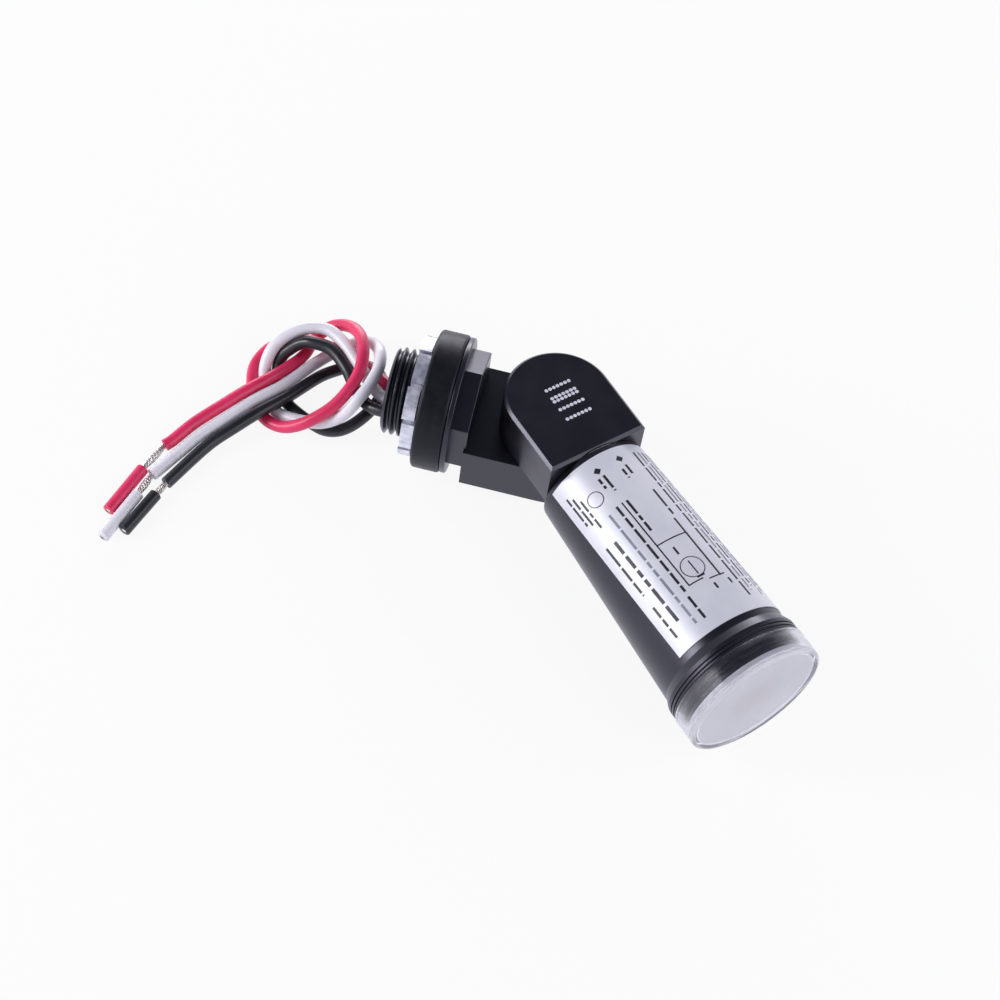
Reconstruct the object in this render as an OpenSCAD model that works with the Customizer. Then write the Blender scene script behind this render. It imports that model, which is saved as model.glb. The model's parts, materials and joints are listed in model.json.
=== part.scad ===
// Stem-mount swivel photocell switch: threaded stem, half-lap swivel, tapered head, clear lens, three leads.
// The origin is on the stem axis in the gasket face that seals on the box wall. +X runs out of the box,
// +Z is the swivel axis. All sizes are in millimetres.

/* [Stem] */
// Outside diameter of the straight half-inch conduit thread
thread_d = 20.8; // [20:0.1:24]
// Wall between the thread's crests and the lead passage through the stem
stem_wall = 2.4; // [1.8:0.1:2.5]
// Length of thread that stands past the gasket face
stem_reach = 8.8; // [7.5:0.1:9.5]
// Chamfer at the tip of the stem
stem_chamfer = 0.9; // [0.3:0.1:1.2]

/* [Gasket and flange] */
// Outside diameter of the rubber gasket
gasket_d = 33; // [30:0.5:40]
// Thickness of the rubber gasket
gasket_t = 7; // [4:0.1:9]
// Radius of the gasket's moulded edges
gasket_edge_r = 0.9; // [0.3:0.1:1.8]
// Outside diameter of the flange that backs the gasket
flange_d = 32.4; // [29:0.1:38]
// Thickness of the flange
flange_t = 1.3; // [1:0.1:3]
// Hexagon size across its flats
hex_flats = 24; // [22:0.5:28]
// Length of the hexagon along the stem
hex_len = 4.1; // [3:0.1:8]

/* [Locknut] */
// Thickness of the pressed steel locknut
locknut_t = 3; // [2:0.1:4]
// Width of the locknut's ring between the thread and the notches
locknut_wall = 2.3; // [1.5:0.1:3]
// Height of the locknut's lugs
lug_h = 1.6; // [0.8:0.1:3]
// Number of lugs
lug_count = 10; // [6:1:14]
// Width of the notch between two lugs
lug_notch = 1.6; // [1:0.1:5]
// Turn of the locknut on the thread, as stored
lug_turn = 9; // [0:1:45]

/* [Swivel] */
// Radius of the two knuckle halves about the swivel axis
knuckle_r = 12.8; // [11.5:0.1:15]
// Height of each knuckle half
knuckle_h = 13; // [12.4:0.1:16]
// Gap between the hexagon and the head's round end
hex_gap = 5.4; // [2:0.1:8]
// Angle of the head to the stem, as stored
head_bend = 45; // [0:1:90]
// Gap between the two knuckle halves
lap_gap = 0.3; // [0.2:0.05:0.5]
// Thickness of each knuckle wall that the eyelet clamps
knuckle_floor = 2.8; // [2.4:0.1:3.2]
// Radius of the rounded knuckle edges
knuckle_edge_r = 0.7; // [0.3:0.1:1.5]
// Outside diameter of the hollow swivel eyelet
eyelet_d = 8.8; // [8.4:0.1:9.2]
// Wall of the hollow swivel eyelet
eyelet_wall = 0.8; // [0.5:0.1:0.9]
// How far the eyelet's ends are flared
eyelet_flare = 1.8; // [1:0.1:2]
// Thickness of the eyelet's flared ends
eyelet_flare_t = 0.8; // [0.5:0.1:1]

/* [Head] */
// Gap between the stem's round end and the barrel
barrel_gap = 3.7; // [2.5:0.1:6]
// Length of the tapered barrel
barrel_len = 54.7; // [52:0.1:70]
// Barrel diameter at the knuckle
barrel_d0 = 26.4; // [26:0.1:28]
// Barrel diameter at the lens end
barrel_d1 = 31.8; // [30:0.1:34]
// Wall thickness of the head
wall = 2; // [1.6:0.1:2.2]
// Length of the flare between the barrel and the rim
flare_len = 2.2; // [1:0.1:4]
// How far the rim that the lens butts on stands out from the barrel
rim_lip = 0.9; // [0.5:0.1:2]
// Length of the rim
rim_len = 2.8; // [2:0.1:5]
// Depth and width of the two fine grooves round the rim
rim_groove = 0.35; // [0.2:0.05:0.5]
// Step from the barrel in to the spigot that the lens slips over
spigot_step = 0.9; // [0.7:0.1:1.2]
// Length of the spigot
spigot_len = 3.9; // [2.4:0.1:6]

/* [Lens] */
// Wall thickness of the clear lens cap
lens_wall = 1.5; // [1:0.1:2]
// Radial gap between the lens cap and the spigot, which the seal closes
lens_gap = 0.5; // [0.4:0.05:0.7]
// Thickness of the front of the lens cap
lens_front = 1.6; // [1:0.1:2.5]
// Room between the sensor plate and the front of the lens cap
lens_room = 0.3; // [0.2:0.1:2]
// Radius of the lens cap's front edge
lens_edge_r = 0.9; // [0.4:0.1:1.4]
// Thickness of the white sensor plate
plate_t = 1.2; // [1:0.1:2]
// Diameter of the light-sensitive cell
photocell_d = 11; // [8:0.5:12]
// Thickness of the light-sensitive cell
photocell_t = 1.6; // [1.2:0.1:1.8]

/* [Label] */
// Width of the label sheet, measured round the barrel
label_w = 40; // [30:0.5:41]
// Length of the label sheet along the barrel
label_len = 51.4; // [40:0.1:51.8]
// Bare strip between the knuckle block and the label
label_margin = 1.6; // [1:0.1:3]
// Thickness of the label sheet
label_t = 0.15; // [0.1:0.05:0.3]
// Angle of the label's middle line round the barrel from the top
label_turn = 18; // [-30:1:40]

/* [Electronics] */
// Distance from the circuit board's end to the barrel's end
board_end_gap = 4.2; // [0:0.1:6]
// Clearance between the circuit board's edges and the barrel
board_clear = 0.25; // [0.1:0.05:1]
// Thickness of the circuit board
board_t = 1.6; // [1:0.1:2]
// Depth of the circuit board's top face below the head axis
board_drop = 4.2; // [3.5:0.1:4.4]

/* [Leads] */
// Diameter of each insulated lead
lead_d = 3; // [2:0.1:3.1]
// Diameter of the bare twisted strands
strand_d = 1.3; // [0.8:0.1:1.8]

/* [Hidden] */
$fn = 64;
round_fn = 96;
skin = 0.02;
label_glue = 0.2;
small_gap = 0.1;
seat_gap = 0.2;
run_clear = 0.06;
over = 1;

stem_bore_d = thread_d - 2 * stem_wall;
locknut_root_d = thread_d + 2 * locknut_wall;
locknut_d = locknut_root_d + 2 * lug_h;
lug_w = PI * locknut_d / lug_count - lug_notch;
flange_x = gasket_t;
hex_x = flange_x + flange_t;
hex_end = hex_x + hex_len;
pivot_reach = knuckle_r + hex_gap;
pivot_x = hex_end + pivot_reach;
lap = lap_gap / 2;

block_reach = knuckle_r + barrel_gap;
barrel_end = block_reach + barrel_len;
rim_d = barrel_d1 + 2 * rim_lip;
spigot_d = barrel_d1 - 2 * spigot_step;
rim_x = barrel_end + flare_len;
rim_end = rim_x + rim_len;
spigot_end = rim_end + spigot_len;
plate_end = spigot_end + plate_t;
lens_r = spigot_d / 2 + lens_gap;
lens_end = plate_end + lens_room + lens_front;
spigot_bore_r = spigot_d / 2 - wall;
taper = (barrel_d1 - barrel_d0) / 2 / barrel_len;

// Barrel radius at a distance along the head from the swivel axis
function barrel_r(x) = barrel_d0 / 2 + taper * (x - block_reach);

label_steps = 6;
seal_ring_d = 1.44;
seal_edge = 3.6;
swivel_seal_r = knuckle_r - seal_edge;
swivel_groove_w = 1.7;
swivel_groove_t = 1.5;
eyelet_bore_d = eyelet_d - 2 * eyelet_wall;
eyelet_flare_d = eyelet_d + 2 * eyelet_flare;
washer_lip = 1.3;
washer_d = eyelet_flare_d + 2 * washer_lip;
washer_t = 0.7;

head_floor_z = lap + knuckle_floor;
washer_z = head_floor_z + small_gap;
eyelet_top_z = washer_z + washer_t + small_gap;

board_start = 6.5;
board_x = block_reach + board_start;
board_end = barrel_end - board_end_gap;
board_len = board_end - board_x;
board_z = -board_drop - board_t;
board_room = pow(barrel_r(board_x) - wall, 2) - pow(board_z, 2);
board_w = 2 * (sqrt(board_room) - board_clear);
rail_t = 1.3;
rail_in = board_w / 2 - rail_t;

// Parts on the board: their sizes, and their places from the middle of the board's inner end
relay_size = [20.3, 10.2, 13.5];
relay_at = [12, -5.1];
varistor_d = 10;
varistor_t = 4;
varistor_at = [6, 0];
film_size = [8.5, 5, 9];
film_at = [33.5, -8.3];
filter_d = 6.3;
filter_h = 8;
filter_at = [37.6, 4.4];
transistor_d = 4.6;
transistor_h = 4.6;
transistor_at = [40.9, -0.6];
diode_size = [2.6, 5];
diode_at = 8;
diode_count = 4;
diode_pitch = 5;
resistor_size = [2.4, 6.5];
resistor_at = 30;
resistor_count = 3;
resistor_pitch = 4;
cell_lead_d = 0.6;
cell_lead_pitch = 8;

// Places of the three leads round the swivel axis, and the heights at which they turn inside the head
lead_clear = 0.25;
lead_ring_r = (eyelet_bore_d - lead_d) / 2 - lead_clear;
lead_bend = 2;
lead_ease = 0.6;
lead_turn = [60, 180, 300];
head_lead_z = [9.4, 9.4, 6.6];
head_lead_y = [1.7, -1.7, 0];
pad_y = [4.6, -4.6, 0];
pad_at = 2.4;
pad_x = board_x + pad_at;
stem_lead_z = -5.4;
stem_lead_y = [3.2, 0, -3.2];

// Routes of the three free leads, from inside the stem, through their overhand knot, to the stripped ends
red_route = [
    [-4, 3.2, -4.4], [-9, 3.8, -4.6], [-13.4, 7.1, -6], [-18, 11, -8], [-24, 13.4, -8.6],
    [-30, 14.4, -8.8], [-36, 15.2, -10.4], [-41, 13, -13], [-43.6, 8.8, -15], [-43.1, 3.6, -15.5],
    [-40.7, -2, -15.4], [-37.3, -6, -15.4], [-33, -8.2, -14], [-29, -8.6, -11.6], [-25, -7.2, -8.9],
    [-21, -4, -6.2], [-18.2, 0.5, -3.4], [-17.2, 5, -1.8], [-17.8, 9.8, -1.4], [-19.8, 15, -2.6],
    [-23.4, 19, -5.4], [-28, 20.2, -8.8], [-31.4, 17.8, -12], [-32.8, 13, -12.8], [-35.1, 8.2, -12.1],
    [-37.9, 3.9, -11.5], [-43.1, -1.9, -12], [-47.8, -7.3, -13], [-52.6, -12.9, -14.2],
    [-56.5, -18.9, -15.2], [-57.7, -20.2, -15.5]
];
white_route = [
    [-4, 0, -4.8], [-9, 0.2, -5], [-13.6, 3.1, -5.2], [-18, 8, -4.9], [-23, 13, -4.8], [-28.2, 16.2, -5],
    [-34.2, 15.6, -6.4], [-39.3, 12.1, -9.2], [-40.9, 7.8, -12.5], [-39.7, 3.2, -15.2],
    [-37.8, -0.5, -15.4], [-35, -3.5, -15.4], [-31, -5.2, -14], [-27, -6, -12.7], [-22.5, -6, -11],
    [-18.6, -5, -7.8], [-15.9, -2.8, -3.9], [-14, 0.8, -1.8], [-13, 5.6, -0.8], [-14, 11, -1.8],
    [-16.8, 15.6, -5.4], [-20.6, 17.6, -9.2], [-24.6, 16.8, -12], [-28, 13.8, -13.2], [-31, 9.4, -13],
    [-35.6, 1.9, -12.4], [-40.7, -3.9, -12.5], [-45.4, -9.4, -13.6], [-50.1, -15.1, -14.6],
    [-53.9, -21.5, -15.3], [-58, -28.9, -15.5]
];
black_route = [
    [-4, -3.2, -4.4], [-9, -3.4, -4.8], [-13.5, -1.8, -5.9], [-17.5, 2.2, -6.2], [-21, 7, -6],
    [-26, 11.2, -5.6], [-31.2, 12.2, -6.2], [-33.7, 12.3, -7.6], [-35.8, 11.7, -9.7], [-37.4, 10.7, -11.5],
    [-38.1, 9, -13.4], [-37, 4.8, -15.3], [-34.6, 1.2, -15.5], [-32, -1.2, -15.5], [-26, -4.2, -15.5],
    [-22.3, -5.2, -15.4], [-18.5, -4.6, -14.3], [-14.8, -1.8, -12.3], [-12.2, 2.4, -10.4],
    [-11.8, 6.6, -9.6], [-13.6, 10.4, -9.8], [-16.8, 12.8, -11.2], [-20.6, 13.2, -12.9],
    [-24.2, 11.4, -13.6], [-27.6, 8, -13.2], [-33.3, -0.5, -12.4], [-38.3, -6.4, -12.4],
    [-43.1, -11.8, -13.6], [-47.7, -17.4, -14.8], [-54.2, -30.3, -15.5]
];
// Where the bare strands of each lead end and the piece of insulation left on its tip ends
red_tip = [[-60.6, -28, -15.5], [-64.7, -41.3, -15.5]];
white_tip = [[-59.6, -35, -15.5], [-63.7, -48.6, -15.5]];
black_tip = [[-55.6, -34, -15.5], [-59.6, -45.6, -15.5]];
cord_sides = 8;

black_plastic = "#26262a";
black_rubber = "#2c2c30";
zinc_steel = "#c3c6cb";
clear_plastic = "#dfe6ea";
black_epoxy = "#1f1f22";
inner_vinyl = "#8a8a8e";
red_vinyl = "#d92b52";
white_vinyl = "#e8e8ee";
black_vinyl = "#2b2f36";

// Turns a shape made along +Z so that it runs along +X
module along_x() {
    rotate([0, 90, 0]) children();
}

// Places what belongs to the head: local X runs from the swivel axis to the lens
module in_head() {
    translate([pivot_x, 0, 0]) rotate([0, 0, -head_bend]) children();
}

// Ring of rectangular section round +X
module ring_x(x, len, outer_r, inner_r) {
    translate([x, 0, 0]) along_x() difference() {
        cylinder(h = len, r = outer_r, $fn = round_fn);
        translate([0, 0, -over]) cylinder(h = len + 2 * over, r = inner_r, $fn = round_fn);
    }
}

// Half section of a knuckle block, with its outer edge rounded
module knuckle_section() {
    translate([0, lap]) square([knuckle_r - knuckle_edge_r, knuckle_h - lap]);
    translate([0, lap]) square([knuckle_r, knuckle_h - lap - knuckle_edge_r]);
    translate([knuckle_r - knuckle_edge_r, knuckle_h - knuckle_edge_r]) circle(r = knuckle_edge_r);
}

// Half-lap knuckle block: a half round about the swivel axis and a straight part along +X
module knuckle_block(len) {
    rotate([0, 0, 90]) rotate_extrude(angle = 180, $fn = round_fn) knuckle_section();
    for (side = [0, 1])
        mirror([0, side, 0]) rotate([90, 0, 90]) linear_extrude(len) knuckle_section();
}

// Straight round rod between two points
module rod(a, b, d) {
    v = b - a;
    len = norm(v);
    turn = [0, acos(v.z / len), atan2(v.y, v.x)];
    translate(a) rotate(turn) cylinder(h = len, d = d, $fn = 24);
}

// Round wire through a few points, with ball corners
module wire(points, d) {
    for (i = [0 : len(points) - 2])
        rod(points[i], points[i + 1], d);
    for (i = [1 : 1 : len(points) - 2])
        translate(points[i]) sphere(d = d, $fn = 24);
}

// Direction of a route at one of its points
function unit(v) = v / norm(v);
function heading(route, i) =
    unit(route[min(i + 1, len(route) - 1)] - route[max(i - 1, 0)]);

// One ring of a cord's tube, square to the route; ref is a direction that the route never takes
function cord_ring(route, i, d, ref) =
    let (t = heading(route, i), side = unit(cross(ref, t)), up = cross(t, side))
    [for (k = [0 : cord_sides - 1])
        route[i] + d / 2 * (cos(360 * k / cord_sides) * side + sin(360 * k / cord_sides) * up)];

// Tube along a cord's route, one ring at each point
module cord(route, d, ref = [0, 0, 1]) {
    rings = len(route);
    points = [for (i = [0 : rings - 1]) each cord_ring(route, i, d, ref)];
    last = (rings - 1) * cord_sides;
    sides = [for (i = [0 : rings - 2], k = [0 : cord_sides - 1])
        let (a = i * cord_sides + k, b = i * cord_sides + (k + 1) % cord_sides)
        each [[a, a + cord_sides, b + cord_sides], [a, b + cord_sides, b]]];
    ends = [for (k = [1 : cord_sides - 2])
        each [[0, k, k + 1], [last, last + k + 1, last + k]]];
    polyhedron(points, concat(sides, ends));
}

// Moulded stem: thread, flange, hexagon and the lower half of the swivel in one piece
module swivel_stem() {
    color(black_plastic) difference() {
        union() {
            translate([-stem_reach, 0, 0]) along_x() {
                cylinder(h = stem_chamfer, d1 = thread_d - 2 * stem_chamfer, d2 = thread_d, $fn = round_fn);
                translate([0, 0, stem_chamfer])
                    cylinder(h = stem_reach - stem_chamfer + hex_x, d = thread_d, $fn = round_fn);
            }
            translate([flange_x, 0, 0]) along_x() cylinder(h = flange_t, d = flange_d, $fn = round_fn);
            translate([hex_x, 0, 0]) along_x() cylinder(h = hex_len, d = hex_flats / cos(30), $fn = 6);
            translate([pivot_x, 0, 0]) rotate([0, 0, 180]) mirror([0, 0, 1])
                knuckle_block(pivot_reach + over);
        }
        translate([-stem_reach - over, 0, 0]) along_x()
            cylinder(h = stem_reach + over + hex_end - wall, d = stem_bore_d, $fn = round_fn);
        intersection() {
            along_x() cylinder(h = pivot_x + stem_bore_d / 2, d = stem_bore_d, $fn = round_fn);
            translate([0, -stem_bore_d, -stem_bore_d - lap - knuckle_floor])
                cube([pivot_x + stem_bore_d, 2 * stem_bore_d, stem_bore_d]);
        }
        translate([pivot_x, 0, -lap - knuckle_floor - over])
            cylinder(h = knuckle_floor + 2 * over, d = eyelet_d + 2 * skin, $fn = round_fn);
        translate([pivot_x, 0, -lap - swivel_groove_t]) rotate_extrude($fn = round_fn)
            translate([swivel_seal_r - swivel_groove_w / 2, 0])
                square([swivel_groove_w, swivel_groove_t + over]);
    }
}

// Thick rubber gasket between the flange and the box wall
module gasket() {
    r_out = gasket_d / 2;
    r_in = thread_d / 2 + seat_gap;
    color(black_rubber) along_x() rotate_extrude($fn = round_fn) {
        translate([r_in, 0]) square([r_out - gasket_edge_r - r_in, gasket_t]);
        translate([r_in, gasket_edge_r]) square([r_out - r_in, gasket_t - 2 * gasket_edge_r]);
        for (y = [gasket_edge_r, gasket_t - gasket_edge_r])
            translate([r_out - gasket_edge_r, y]) circle(r = gasket_edge_r);
    }
}

// Pressed steel locknut with lugs for a screwdriver to tap round
module locknut() {
    color(zinc_steel) translate([-locknut_t - small_gap, 0, 0]) along_x() difference() {
        union() {
            cylinder(h = locknut_t, d = locknut_root_d, $fn = round_fn);
            intersection() {
                cylinder(h = locknut_t, d = locknut_d, $fn = round_fn);
                for (i = [0 : lug_count - 1])
                    rotate([0, 0, lug_turn + i * 360 / lug_count])
                        translate([0, -lug_w / 2, 0]) cube([locknut_d, lug_w, locknut_t]);
            }
        }
        translate([0, 0, -over])
            cylinder(h = locknut_t + 2 * over, d = thread_d + 2 * run_clear, $fn = round_fn);
    }
}

// Hollow brass eyelet that holds the two knuckle halves together and lets the leads through
module pivot_eyelet() {
    low_z = -lap - knuckle_floor - eyelet_flare_t;
    color("#b8974a") translate([pivot_x, 0, 0]) difference() {
        union() {
            translate([0, 0, low_z]) cylinder(h = eyelet_flare_t, d = eyelet_flare_d, $fn = round_fn);
            translate([0, 0, low_z])
                cylinder(h = eyelet_top_z - low_z + eyelet_flare_t / 2, d = eyelet_d, $fn = round_fn);
            translate([0, 0, eyelet_top_z]) cylinder(h = eyelet_flare_t, d = eyelet_flare_d, $fn = round_fn);
        }
        translate([0, 0, low_z - over])
            cylinder(h = eyelet_top_z - low_z + 3 * over, d = eyelet_bore_d, $fn = round_fn);
    }
}

// Rubber ring in the lower knuckle half that keeps water out of the swivel
module swivel_seal() {
    color(black_rubber) translate([pivot_x, 0, -lap - seal_ring_d / 2])
        rotate_extrude($fn = round_fn) translate([swivel_seal_r, 0]) circle(d = seal_ring_d, $fn = 24);
}

// Spring washer under the eyelet's upper end, which gives the swivel its friction
module spring_washer() {
    color(zinc_steel) translate([pivot_x, 0, washer_z]) difference() {
        cylinder(h = washer_t, d = washer_d, $fn = round_fn);
        translate([0, 0, -over])
            cylinder(h = washer_t + 2 * over, d = eyelet_d + 2 * seat_gap, $fn = round_fn);
    }
}

// Outline of the head round its axis: barrel, flare, grooved rim and lens spigot
module head_outline() {
    polygon([
        [0, block_reach], [barrel_d0 / 2, block_reach], [barrel_d1 / 2, barrel_end], [rim_d / 2, rim_x],
        [rim_d / 2, rim_end], [spigot_d / 2, rim_end], [spigot_d / 2, spigot_end], [0, spigot_end]
    ]);
}

// Hollow of the barrel, from the knuckle block to the spigot's mouth
module head_hollow() {
    start = block_reach + wall;
    polygon([
        [0, start], [barrel_r(start) - wall, start], [barrel_r(barrel_end) - wall, barrel_end - wall],
        [spigot_bore_r, barrel_end], [spigot_bore_r, spigot_end + over], [0, spigot_end + over]
    ]);
}

// Tapered head with the upper half of the swivel, moulded in one piece and open at the lens end
module head_shell() {
    color(black_plastic) in_head() {
        difference() {
            union() {
                knuckle_block(block_reach);
                along_x() rotate_extrude($fn = round_fn) head_outline();
            }
            along_x() rotate_extrude($fn = round_fn) head_hollow();
            knuckle_pocket();
            translate([0, 0, -over])
                cylinder(h = knuckle_h / 2, d = eyelet_d + 2 * run_clear, $fn = round_fn);
            for (i = [1, 2])
                ring_x(rim_x + i * rim_len / 3, rim_groove, rim_d / 2 + over, rim_d / 2 - rim_groove);
            ring_x(rim_end + (spigot_len - seal_ring_d) / 2, seal_ring_d + small_gap, spigot_d / 2 + over,
                   lens_seal_r() - seal_ring_d / 2 - small_gap);
        }
        board_rails();
    }
}

// Pocket of the upper knuckle half, open to the barrel
module knuckle_pocket() {
    pocket_h = knuckle_h - wall - head_floor_z;
    pocket_r = knuckle_r - wall;
    translate([0, 0, head_floor_z]) {
        cylinder(h = pocket_h, r = pocket_r, $fn = round_fn);
        intersection() {
            translate([0, -pocket_r, 0]) cube([block_reach + 2 * wall, 2 * pocket_r, pocket_h]);
            translate([0, 0, -head_floor_z]) along_x()
                cylinder(h = block_reach + 2 * wall, r = barrel_d0 / 2 - wall, $fn = round_fn);
        }
    }
}

// Two ledges inside the barrel that carry the circuit board's edges
module board_rails() {
    intersection() {
        for (side = [-1, 1])
            translate([board_x, side > 0 ? rail_in : -rail_in - barrel_d1, board_z - seat_gap - rail_t])
                cube([board_len, barrel_d1, rail_t]);
        along_x() rotate_extrude($fn = round_fn) polygon([
            [0, block_reach + over], [barrel_r(block_reach + over) - wall / 2, block_reach + over],
            [barrel_r(barrel_end) - wall / 2, barrel_end], [0, barrel_end]
        ]);
    }
}

// Printed foil label wrapped on the barrel; a square sheet on a taper, so its bare gap widens to the lens
module label() {
    x0 = block_reach + label_margin;
    x1 = x0 + label_len;
    r0 = barrel_r(x0) + label_glue;
    r1 = barrel_r(x1) + label_glue;
    edge = [for (i = [0 : label_steps])
        let (x = x0 - over + i * (label_len + 2 * over) / label_steps, r = barrel_r(x) + label_glue)
        [x, r * cos(label_w / 2 / r * 180 / PI)]];
    far = barrel_d1;
    color("#d9dade") in_head() rotate([-label_turn, 0, 0]) intersection() {
        along_x() rotate_extrude($fn = round_fn)
            polygon([[r0, x0], [r0 + label_t, x0], [r1 + label_t, x1], [r1, x1]]);
        translate([0, far, 0]) rotate([90, 0, 0]) linear_extrude(2 * far)
            polygon(concat(edge, [[x1 + over, far], [x0 - over, far]]));
    }
}

// Radius of the lens seal's own circle
function lens_seal_r() = lens_r - run_clear - seal_ring_d / 2;

// Rubber ring between the spigot and the lens cap
module lens_seal() {
    color(black_rubber) in_head() translate([rim_end + spigot_len / 2 + small_gap / 2, 0, 0]) along_x()
        rotate_extrude($fn = round_fn) translate([lens_seal_r(), 0]) circle(d = seal_ring_d, $fn = 24);
}

// White plate on the spigot's end, with a skirt inside the spigot and a window for the cell
module sensor_plate() {
    skirt_r = spigot_bore_r - seat_gap;
    hole_r = photocell_d / 2 + seat_gap;
    color("#eceae4") in_head() {
        ring_x(spigot_end, plate_t, lens_r - seat_gap, hole_r);
        ring_x(spigot_end - wall, wall + skin, skirt_r, skirt_r - wall);
    }
}

// Light-sensitive cell facing out of the lens, with its two wires down to the board
module photocell() {
    back = plate_end - photocell_t + small_gap;
    color("#c9a06a") in_head() {
        translate([back, 0, 0]) along_x() cylinder(h = photocell_t, d = photocell_d, $fn = round_fn);
        for (side = [-1, 1])
            wire([
                [back + photocell_t / 2, side * cell_lead_pitch / 2, 0],
                [board_end - over, side * cell_lead_pitch / 2, 0],
                [board_end - over, side * cell_lead_pitch / 2, -board_drop]
            ], cell_lead_d);
    }
}

// Clear cap over the sensor, slipped on the spigot against the rim
module lens() {
    outer = lens_r + lens_wall;
    start = rim_end + small_gap;
    color(clear_plastic, 0.5) in_head() along_x() rotate_extrude($fn = round_fn) difference() {
        union() {
            translate([0, start]) square([outer, lens_end - lens_edge_r - start]);
            translate([0, start]) square([outer - lens_edge_r, lens_end - start]);
            translate([outer - lens_edge_r, lens_end - lens_edge_r]) circle(r = lens_edge_r);
        }
        translate([-over, start - over]) square([lens_r + over, lens_end - lens_front - start + over]);
    }
}

// Fibreglass circuit board on the barrel's ledges
module circuit_board() {
    color("#3f7d4a") in_head() translate([board_x, -board_w / 2, board_z])
        cube([board_len, board_w, board_t]);
}

// Places a part that stands on the board's upper face
module on_board(at) {
    in_head() translate([board_x + at.x, at.y, -board_drop]) children();
}

// Sealed switching relay
module relay() {
    color("#2f5f9e") on_board(relay_at) cube(relay_size);
}

// Disc that absorbs line surges, standing across the board
module surge_varistor() {
    color("#2e55a8") on_board(varistor_at) translate([0, 0, varistor_d / 2]) along_x()
        cylinder(h = varistor_t, d = varistor_d);
}

// Moulded film capacitor
module film_capacitor() {
    color("#d0b53c") on_board(film_at) cube(film_size);
}

// Upright filter capacitor in its can
module filter_capacitor() {
    color("#31343c") on_board(filter_at) cylinder(h = filter_h, d = filter_d);
}

// Moulded transistor with one flat side
module transistor() {
    color(black_epoxy) on_board(transistor_at) intersection() {
        cylinder(h = transistor_h, d = transistor_d);
        translate([-transistor_d / 4, -transistor_d, -over])
            cube([transistor_d, 2 * transistor_d, 2 * transistor_h]);
    }
}

// Row of small round parts across the underside of the board
module underside_row(count, at, pitch, size) {
    for (i = [0 : count - 1])
        translate([board_x + at + i * pitch, size.y / 2, board_z - size.x / 2]) rotate([90, 0, 0])
            cylinder(h = size.y, d = size.x, $fn = 24);
}

// Four rectifier diodes
module rectifier_diodes() {
    color(black_epoxy) in_head() underside_row(diode_count, diode_at, diode_pitch, diode_size);
}

// Three resistors
module resistors() {
    color("#cdb48a") in_head() underside_row(resistor_count, resistor_at, resistor_pitch, resistor_size);
}

// Leads inside the stem, from where the free leads start to the swivel's lap
module stem_leads() {
    starts = [red_route[0], white_route[0], black_route[0]];
    color(inner_vinyl) for (i = [0 : 2]) {
        out = [cos(lead_turn[i]), sin(lead_turn[i]), 0];
        foot = [pivot_x, 0, 0] + lead_ring_r * out;
        cord([
            starts[i] + [small_gap, 0, 0],
            [hex_end, stem_lead_y[i], stem_lead_z],
            [foot.x + lead_bend * (out.x - 1), stem_lead_y[i], stem_lead_z],
            foot + lead_bend * out + [0, 0, stem_lead_z],
            foot + lead_ease * out + [0, 0, stem_lead_z + lead_ease],
            foot + [0, 0, stem_lead_z + lead_bend],
            foot + [0, 0, -lap]
        ], lead_d, [0, 1, 0]);
    }
}

// Leads inside the head, from the swivel's lap to the board's pads
module head_leads() {
    color(inner_vinyl) in_head() for (i = [0 : 2]) {
        foot_x = lead_ring_r * cos(lead_turn[i] + head_bend);
        foot_y = lead_ring_r * sin(lead_turn[i] + head_bend);
        top_z = head_lead_z[i];
        cord([
            [foot_x, foot_y, lap],
            [foot_x, foot_y, top_z - lead_bend],
            [foot_x + lead_ease, foot_y, top_z - lead_ease],
            [foot_x + lead_bend, foot_y, top_z],
            [block_reach, head_lead_y[i], top_z],
            [pad_x - lead_ease, pad_y[i], top_z - 2 * lead_bend],
            [pad_x, pad_y[i], lead_bend - board_drop],
            [pad_x, pad_y[i], -board_drop]
        ], lead_d, [0, 1, 0]);
    }
}

// Free leads, their bare strands and the bits of insulation left on the tips
module lead_red() {
    color(red_vinyl) cord(red_route, lead_d);
}

module lead_white() {
    color(white_vinyl) cord(white_route, lead_d);
}

module lead_black() {
    color(black_vinyl) cord(black_route, lead_d);
}

// Bare strands from the end of a lead's insulation to the piece left on its tip
module strands(route, tip) {
    color("#b9bbc0") rod(route[len(route) - 1], tip[0], strand_d);
}

module strands_red() {
    strands(red_route, red_tip);
}

module strands_white() {
    strands(white_route, white_tip);
}

module strands_black() {
    strands(black_route, black_tip);
}

module lead_tip_red() {
    color(red_vinyl) rod(red_tip[0], red_tip[1], lead_d);
}

module lead_tip_white() {
    color(white_vinyl) rod(white_tip[0], white_tip[1], lead_d);
}

module lead_tip_black() {
    color(black_vinyl) rod(black_tip[0], black_tip[1], lead_d);
}

swivel_stem();
gasket();
locknut();
pivot_eyelet();
swivel_seal();
spring_washer();
head_shell();
label();
lens_seal();
sensor_plate();
photocell();
lens();
circuit_board();
relay();
surge_varistor();
film_capacitor();
filter_capacitor();
transistor();
rectifier_diodes();
resistors();
stem_leads();
head_leads();
lead_red();
lead_white();
lead_black();
strands_red();
strands_white();
strands_black();
lead_tip_red();
lead_tip_white();
lead_tip_black();
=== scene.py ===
# Looks of a stem-mount swivel photocell switch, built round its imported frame.
# The sections follow the object as it is put together, from the leads to the lens.
import json
import math
import random

import bmesh
import bpy
from mathutils import Matrix, Quaternion, Vector


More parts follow.
